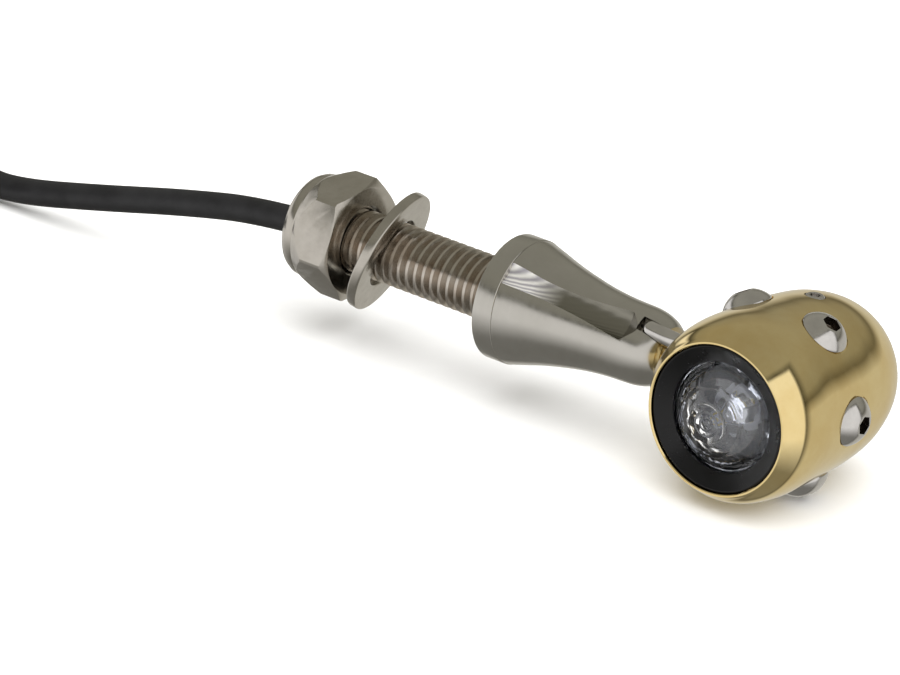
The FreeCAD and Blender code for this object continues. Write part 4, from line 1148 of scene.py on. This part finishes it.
@dataclass
class Bullet:
    """Polished brass shell with its boss and screws."""

    middle: float = 46.64
    rim: float = -15.03
    profile: tuple = (
        (0.0, 11.3),
        (0.6, 11.68),
        (3.0, 13.0),
        (7.0, 13.66),
        (12.0, 13.66),
        (17.0, 13.52),
        (22.0, 13.22),
        (27.0, 12.42),
        (32.0, 10.3),
        (36.0, 6.25),
        (37.6, 3.1),
        (38.14, 0.0),
    )
    boss_radius: float = 2.75
    boss_start: float = 18.2
    seat_face: float = 13.0
    seat_radius: float = 3.9
    station: float = 0.5
    angles: tuple = (0, 60, 120, 240, 300)
    head: float = 3.7
    head_height: float = 2.2
    shank: float = 1.95
    key: float = 2.5
    grub_station: float = 7.8
    outer: Outline = field(default_factory=list)

    def place(self) -> Matrix:
        """Frame of the bullet: its own X runs from the rim backwards."""
        return axis_frame(Vector((self.middle, self.rim, 0)), Vector((0, 1, 0)))

    def radial(self, angle: float) -> Vector:
        """Direction across the bullet, turned from +X towards +Z."""
        turn = math.radians(angle)
        return Vector((math.cos(turn), 0, math.sin(turn)))

    def shell(self) -> bpy.types.Object:
        """Turn the hollow shell, join its boss and cut the screw seats."""
        mirrored = [*self.profile, (2 * 38.14 - 37.6, -3.1)]
        knots = [(x, r) for x, r in mirrored]
        spans = len(self.profile) - 1
        self.outer = [p for p in spline_outline(knots, 12 * (spans + 1))][: 12 * spans]
        self.outer.append((38.14, 0.0))
        inside = [(29.1, 0), (27.6, 6.6), (26.1, 9.6), (19.4, 9.6), (19.4, 10.6), (3.5, 10.6), (3.5, 10.95)]
        lip = [(0.12, 10.95), (0.0, 11.05)]
        shell = turned("brass_bullet", self.outer + inside + lip, self.place(), 240)
        boss = turned(
            "boss_tool",
            eased(
                [
                    (0, 1.35),
                    (0, self.boss_radius),
                    (2.2, self.boss_radius),
                    (2.2, self.boss_radius - 0.87),
                    (3.2, self.boss_radius - 0.87),
                    (3.2, self.boss_radius),
                    (self.middle - 12.05 - self.boss_start, self.boss_radius),
                    (self.middle - 12.05 - self.boss_start, 1.35),
                ],
                0.12,
            ),
            axis_frame(Vector((self.boss_start, 0, 0)), Vector((1, 0, 0))),
            72,
        )
        carve(shell, boss, Cut.JOIN)
        for angle in self.angles:
            out = self.radial(angle)
            foot = Vector((self.middle, self.station, 0)) + out * self.seat_face
            carve(shell, rod("seat_tool", self.seat_radius, 4.0, axis_frame(foot, out), 96))
            hole = Vector((self.middle, self.station, 0)) + out * 8.0
            carve(shell, rod("hole_tool", self.shank + 0.05, 6.0, axis_frame(hole, out), 48))
        grub = Vector((self.middle, self.grub_station, 8.0))
        carve(shell, rod("grub_tool", 1.58, 8.0, axis_frame(grub, Vector((0, 0, 1))), 48))
        smooth(shell, 30.0)
        self.true_normals(shell)
        dress(shell, POLISHED_BRASS.material())
        return shell

    def true_normals(self, shell: bpy.types.Object) -> None:
        """Give the polished outside the exact normals of its curve, so mirrors stay clean."""
        mesh = shell.data
        curve = [Vector(p) for p in self.outer]
        slopes = []
        for i in range(len(curve)):
            ahead = curve[min(i + 1, len(curve) - 1)] - curve[max(i - 1, 0)]
            slopes.append(Vector((-ahead.y, ahead.x)).normalized())
        slopes[-1] = Vector((1.0, 0.0))
        limits = [p.x for p in curve]
        normals = [Vector(c.vector) for c in mesh.corner_normals]
        for polygon in mesh.polygons:
            touching = []
            for index in polygon.vertices:
                co = mesh.vertices[index].co / MM
                depth = co.y - self.rim
                across = Vector((co.x - self.middle, co.z))
                slot = self.slot_of(limits, depth)
                a, b = curve[slot], curve[slot + 1]
                share = (depth - a.x) / max(b.x - a.x, 1e-9)
                share = min(max(share, 0.0), 1.0)
                radius = a.y + (b.y - a.y) * share
                if abs(across.length - radius) > 0.03 or depth < 0.05:
                    break
                lean = (slopes[slot] * (1 - share) + slopes[slot + 1] * share).normalized()
                way = across.normalized() if across.length > 1e-6 else Vector((0, 0))
                touching.append(Vector((way.x * lean.y, lean.x, way.y * lean.y)))
            if len(touching) < len(polygon.vertices):
                continue
            if touching[0].dot(polygon.normal) < 0.9:
                continue
            for loop, normal in zip(polygon.loop_indices, touching):
                normals[loop] = normal
        mesh.normals_split_custom_set(normals)

    def slot_of(self, limits: list[float], depth: float) -> int:
        """Index of the curve's step that holds a depth."""
        low, high = 0, len(limits) - 2
        while low < high:
            middle = (low + high + 1) // 2
            if limits[middle] <= depth:
                low = middle
            else:
                high = middle - 1
        return low

    def screw(self) -> bpy.types.Object:
        """One button-head screw along +X, its seat at the origin."""
        top, flat, dome = self.head_height, 1.55, 4.37
        centre = (-1.859, -0.072)
        curve = []
        for k in range(15):
            radius = self.head + (flat - self.head) * k / 14
            curve.append((centre[0] + math.sqrt(dome**2 - (radius - centre[1]) ** 2), radius))
        outline = [(-5.4, 0), (-5.4, 1.6), (-5.1, self.shank), (0, self.shank), (0, self.head - 0.12), (0.12, self.head)]
        outline += [*curve, (curve[-1][0], 0)]
        screw = turned("button_screw", outline, None, 96)
        socket = prism("socket_tool", self.key, 2.0, Matrix.Translation((top - 1.4, 0, 0)))
        socket_shade = PAINTED_SHADE_RECESS.material()
        dress(screw, BRIGHT_SCREW.material())
        dress(socket, socket_shade)
        screw.data.materials.append(socket_shade)
        carve(screw, socket)
        # faces inside the hexagon socket get the painted shade colour of the recess
        for polygon in screw.data.polygons:
            middle = polygon.center / MM
            inside = math.hypot(middle.y, middle.z) < self.key / math.sqrt(3) * 0.99 and middle.x > 0.5
            polygon.material_index = 1 if inside and (middle.x < top - 0.02 or abs(polygon.normal.x) < 0.5) else 0
        break_edges(screw, 0.07, 34.0)
        return screw

    def screw_tree(self) -> bpy.types.NodeTree:
        """Build the tree that sets screws round the bullet.

        Returns:
            A geometry tree with named inputs for the ring's sizes.
        """
        tree = bpy.data.node_groups.new("screw_ring", "GeometryNodeTree")
        for name, kind in (
            ("Geometry", "NodeSocketGeometry"),
            ("Screw", "NodeSocketObject"),
            ("Count", "NodeSocketInt"),
            ("Missing", "NodeSocketInt"),
            ("Radius", "NodeSocketFloat"),
            ("Seed", "NodeSocketInt"),
        ):
            tree.interface.new_socket(name, in_out="INPUT", socket_type=kind)
        tree.interface.new_socket("Geometry", in_out="OUTPUT", socket_type="NodeSocketGeometry")
        given = add_node(tree, "NodeGroupInput").outputs
        index = add_node(tree, "GeometryNodeInputIndex").outputs[0]
        share = add_node(tree, "ShaderNodeMath", {"operation": "DIVIDE"}, s0=index, s1=given["Count"])
        turn = add_node(tree, "ShaderNodeMath", {"operation": "MULTIPLY"}, s0=share.outputs[0], s1=2 * math.pi)
        cosine = add_node(tree, "ShaderNodeMath", {"operation": "COSINE"}, s0=turn.outputs[0])
        sine = add_node(tree, "ShaderNodeMath", {"operation": "SINE"}, s0=turn.outputs[0])
        way = add_node(tree, "ShaderNodeCombineXYZ", X=cosine.outputs[0], Z=sine.outputs[0])
        spot = add_node(
            tree, "ShaderNodeVectorMath", {"operation": "SCALE"}, s0=way.outputs[0], Scale=given["Radius"]
        )
        points = add_node(tree, "GeometryNodePoints", Count=given["Count"], Position=spot.outputs[0])
        gap = add_node(
            tree, "FunctionNodeCompare", {"data_type": "INT", "operation": "EQUAL"}, s2=index, s3=given["Missing"]
        )
        kept = add_node(tree, "GeometryNodeDeleteGeometry", Geometry=points.outputs[0], Selection=gap.outputs[0])
        clock = add_node(
            tree, "FunctionNodeRandomValue", {"data_type": "FLOAT"}, s2=0.0, s3=1.04, Seed=given["Seed"]
        )
        twist = add_node(tree, "ShaderNodeCombineXYZ", X=clock.outputs[1])
        outward = add_node(
            tree, "FunctionNodeAlignRotationToVector", {"axis": "X", "pivot_axis": "Y"}, Vector=spot_of(tree)
        )
        source = add_node(tree, "GeometryNodeObjectInfo", Object=given["Screw"])
        placed = add_node(
            tree,
            "GeometryNodeInstanceOnPoints",
            Points=kept.outputs[0],
            Instance=source.outputs["Geometry"],
            Rotation=outward.outputs[0],
        )
        spun = add_node(
            tree, "GeometryNodeRotateInstances", Instances=placed.outputs[0], Rotation=twist.outputs[0]
        )
        real = add_node(tree, "GeometryNodeRealizeInstances", Geometry=spun.outputs[0])
        add_node(tree, "NodeGroupOutput", Geometry=real.outputs[0])
        return tree

    def screws(self) -> bpy.types.Object:
        """Set five screws round the barrel; the sixth place is the stem's."""
        master = self.screw()
        ring = mesh_piece("button_head_screws", [(0, 0, 0)], [])
        step = ring.modifiers.new("screws", "NODES")
        step.node_group = self.screw_tree()
        set_inputs(
            step,
            {"Screw": master, "Count": 6, "Missing": 3, "Radius": self.seat_face * MM, "Seed": 4},
        )
        bpy.context.view_layer.update()
        settle(ring)
        ring.data.transform(Matrix.Translation((self.middle * MM, self.station * MM, 0)))
        bpy.data.objects.remove(master)
        smooth(ring, 34.0)
        return ring

    def grub(self) -> bpy.types.Object:
        """Turn the flush set screw with its hexagon socket."""
        top = 13.25
        outline = [(0, 0), (0, 1.2), (0.3, 1.5), (3.0, 1.5), (3.3, 1.2), (3.3, 0)]
        place = axis_frame(Vector((self.middle, self.grub_station, top - 3.3)), Vector((0, 0, 1)))
        screw = turned("flush_set_screw", eased(outline, 0.08), place, 64)
        tool = prism("socket_tool", 1.5, 2.0, place @ Matrix.Translation((2.0, 0, 0)))
        carve(screw, tool)
        break_edges(screw, 0.04, 34.0)
        dress(screw, BRIGHT_SCREW.material())
        return screw

    def build(self) -> None:
        """Make the shell and its screws and hand them over."""
        hand_over(self.shell(), "head", "brass", "bullet_housing")
        hand_over(self.screws(), "head", "nut_steel", "button_screws")
        hand_over(self.grub(), "head", "nut_steel", "grub_screw")
        dress_node("boss_seal", BLACK_RUBBER)


def spot_of(tree: bpy.types.NodeTree) -> bpy.types.NodeSocket:
    """Position field of the geometry that a node works on."""
    return add_node(tree, "GeometryNodeInputPosition").outputs[0]


@dataclass
class Front:
    """Bezel, domed window, optic and light behind it."""

    middle: float = 46.64
    rim: float = -15.03
    seat: float = 10.89
    window: float = 8.1
    dome_edge: float = 8.0
    face: float = 2.1
    back: float = 3.5
    crown: float = -2.4
    wall: float = 1.1
    eye: float = 3.0

    def place(self) -> Matrix:
        """Frame of the front: its own X runs from the rim backwards."""
        return axis_frame(Vector((self.middle, self.rim, 0)), Vector((0, 1, 0)))

    def bezel(self) -> bpy.types.Object:
        """Turn the dished black ring."""
        outline = [
            (0.22, self.seat - 0.3),
            (0.75, 9.75),
            (1.3, self.window + 0.35),
            (1.5, self.window),
            (2.05, self.window),
            (2.05, 9.45),
            (3.5, 9.45),
            (3.5, self.seat),
            (0.5, self.seat),
        ]
        ring = turned("anodised_bezel", eased(outline, 0.2), self.place(), 160)
        dress(ring, BLACK_ANODISED.material())
        return ring

    def cap(self, start: float, edge: float, rise: float, inner: float, count: int) -> Outline:
        """Arc of a dome from its edge to a given radius.

        Args:
            start: depth of the edge.
            edge: radius of the edge.
            rise: how far the full dome would stand out.
            inner: radius where the arc stops.
            count: points along the arc.

        Returns:
            (depth, radius) points from the edge inwards.
        """
        size = (edge * edge + rise * rise) / (2 * rise)
        middle = start - rise + size
        points = []
        for k in range(count + 1):
            radius = edge + (inner - edge) * k / count
            points.append((middle - math.sqrt(size * size - radius * radius), radius))
        return points

    def lens(self) -> bpy.types.Object:
        """Turn the domed window with a stepped eye and moulded rings on it."""
        outside = self.cap(self.face, self.dome_edge, self.face - self.crown, self.eye + 0.05, 26)
        ridge = 5.1
        lifted = []
        for depth, radius in outside:
            bump = 0.16 * math.exp(-(((radius - ridge) / 0.22) ** 2))
            lifted.append((depth - bump, radius))
        eye = [(self.crown, self.eye - 0.12), (self.crown - 0.02, 2.6)]
        for k in range(6):
            radius = 2.4 - 0.4 * k
            eye.append((self.crown + (0.1 if k % 2 else -0.02), max(radius, 0.35)))
        eye.append((self.crown - 0.02, 0.0))
        inside = self.cap(self.back, self.dome_edge - 1.0, 4.8, 0.0, 20)[::-1]
        outline = [(self.face, 9.4), *lifted, *eye, *inside, (self.back, 9.4)]
        lens = turned("domed_window", outline, self.place(), 144)
        self.flute(lens)
        dress(lens, CLEAR_LENS.material())
        return lens

    def flute(self, lens: bpy.types.Object) -> None:
        """Mould shallow radial flutes into the outer part of the dome and a lobed ridge."""
        lobes = 10
        for vertex in lens.data.vertices:
            co = vertex.co / MM
            across = Vector((co.x - self.middle, co.z))
            radius = across.length
            depth = co.y - self.rim
            size = (self.dome_edge**2 + 4.5**2) / 9.0
            dome = -2.4 + size - math.sqrt(max(size * size - radius * radius, 0.0))
            if radius < 3.3 or radius > 7.7 or depth > dome + 0.3:
                continue
            angle = math.atan2(across.y, across.x)
            fade = min((radius - 3.3) / 0.5, (7.7 - radius) / 0.6, 1.0)
            outer = 0.03 * math.cos(angle * 36) if radius > 5.4 else 0.09 * math.cos(angle * lobes)
            vertex.co.y -= outer * fade * MM

    def build(self) -> None:
        """Make the front's pieces and hand them over."""
        hand_over(self.bezel(), "head", "black_anodised", "bezel_ring")
        hand_over(self.lens(), "head", "lens_clear", "front_lens")
        self.cup()
        self.light_parts()
        for name, finish in (
            ("collimator_optic", CLEAR_OPTIC),
            ("led_emitter", LED_SILICONE),
            ("led_board", WHITE_MASK),
            ("thermal_pad", SILICONE_PAD),
            ("heat_sink", SINK_ALUMINIUM),
            ("driver_board", GREEN_MASK),
            ("driver_parts", COMPONENT),
            ("head_wires", WIRE_SLEEVE),
            ("lens_seal", BLACK_RUBBER),
        ):
            dress_node(name, finish)

    def cup(self) -> None:
        """Spin the thin grey cup between the window and the board."""
        outline = [(3.62, 8.05), (3.62, 8.6), (9.3, 8.6), (9.3, 3.75), (9.0, 3.75), (9.0, 8.05)]
        cup = turned("reflector_cup", eased(outline, 0.1), self.place(), 96)
        dress(cup, GREY_CUP.material())
        hand_over(cup, "head", "aluminium")

    def light_parts(self) -> None:
        """Set the white holder and the black driver chip beside the light."""
        white = self.slab("led_holder", (2.2, 0.4, 6.4), (1.2, 2.2, 5.0), WHITE_MASK)
        hand_over(white, "head", "board_white")
        black = self.slab("board_chip", (1.4, -3.4, 7.2), (1.5, 0.8, 1.1), COMPONENT)
        hand_over(black, "head", "component")

    def slab(self, name: str, at: tuple, size: tuple, finish: Finish) -> bpy.types.Object:
        """Small moulded block with rounded edges, at (across, up, depth) from the rim."""
        x, z, y = at
        w, h, d = (s / 2 for s in size)
        points = [(sx * w, sy * d, sz * h) for sx in (-1, 1) for sy in (-1, 1) for sz in (-1, 1)]
        faces = [[0, 1, 3, 2], [4, 5, 7, 6], [0, 1, 5, 4], [2, 3, 7, 6], [0, 2, 6, 4], [1, 3, 7, 5]]
        spot = Matrix.Translation((self.middle + x, self.rim + y, z))
        piece = mesh_piece(name, points, faces, spot)
        break_edges(piece, 0.12, 40.0)
        return dress(piece, finish.material())


def main() -> None:
    """Build the scene in order and write how large it came out."""
    logging.basicConfig(level=logging.INFO, format="%(name)s: %(message)s")
    studio = Studio()
    studio.camera()
    Lead().build()
    studio.floor()
    studio.light()
    Stem().build()
    Stud().build()
    Hardware().build()
    Bullet().build()
    Front().build()


if __name__ == "__main__":
    main()
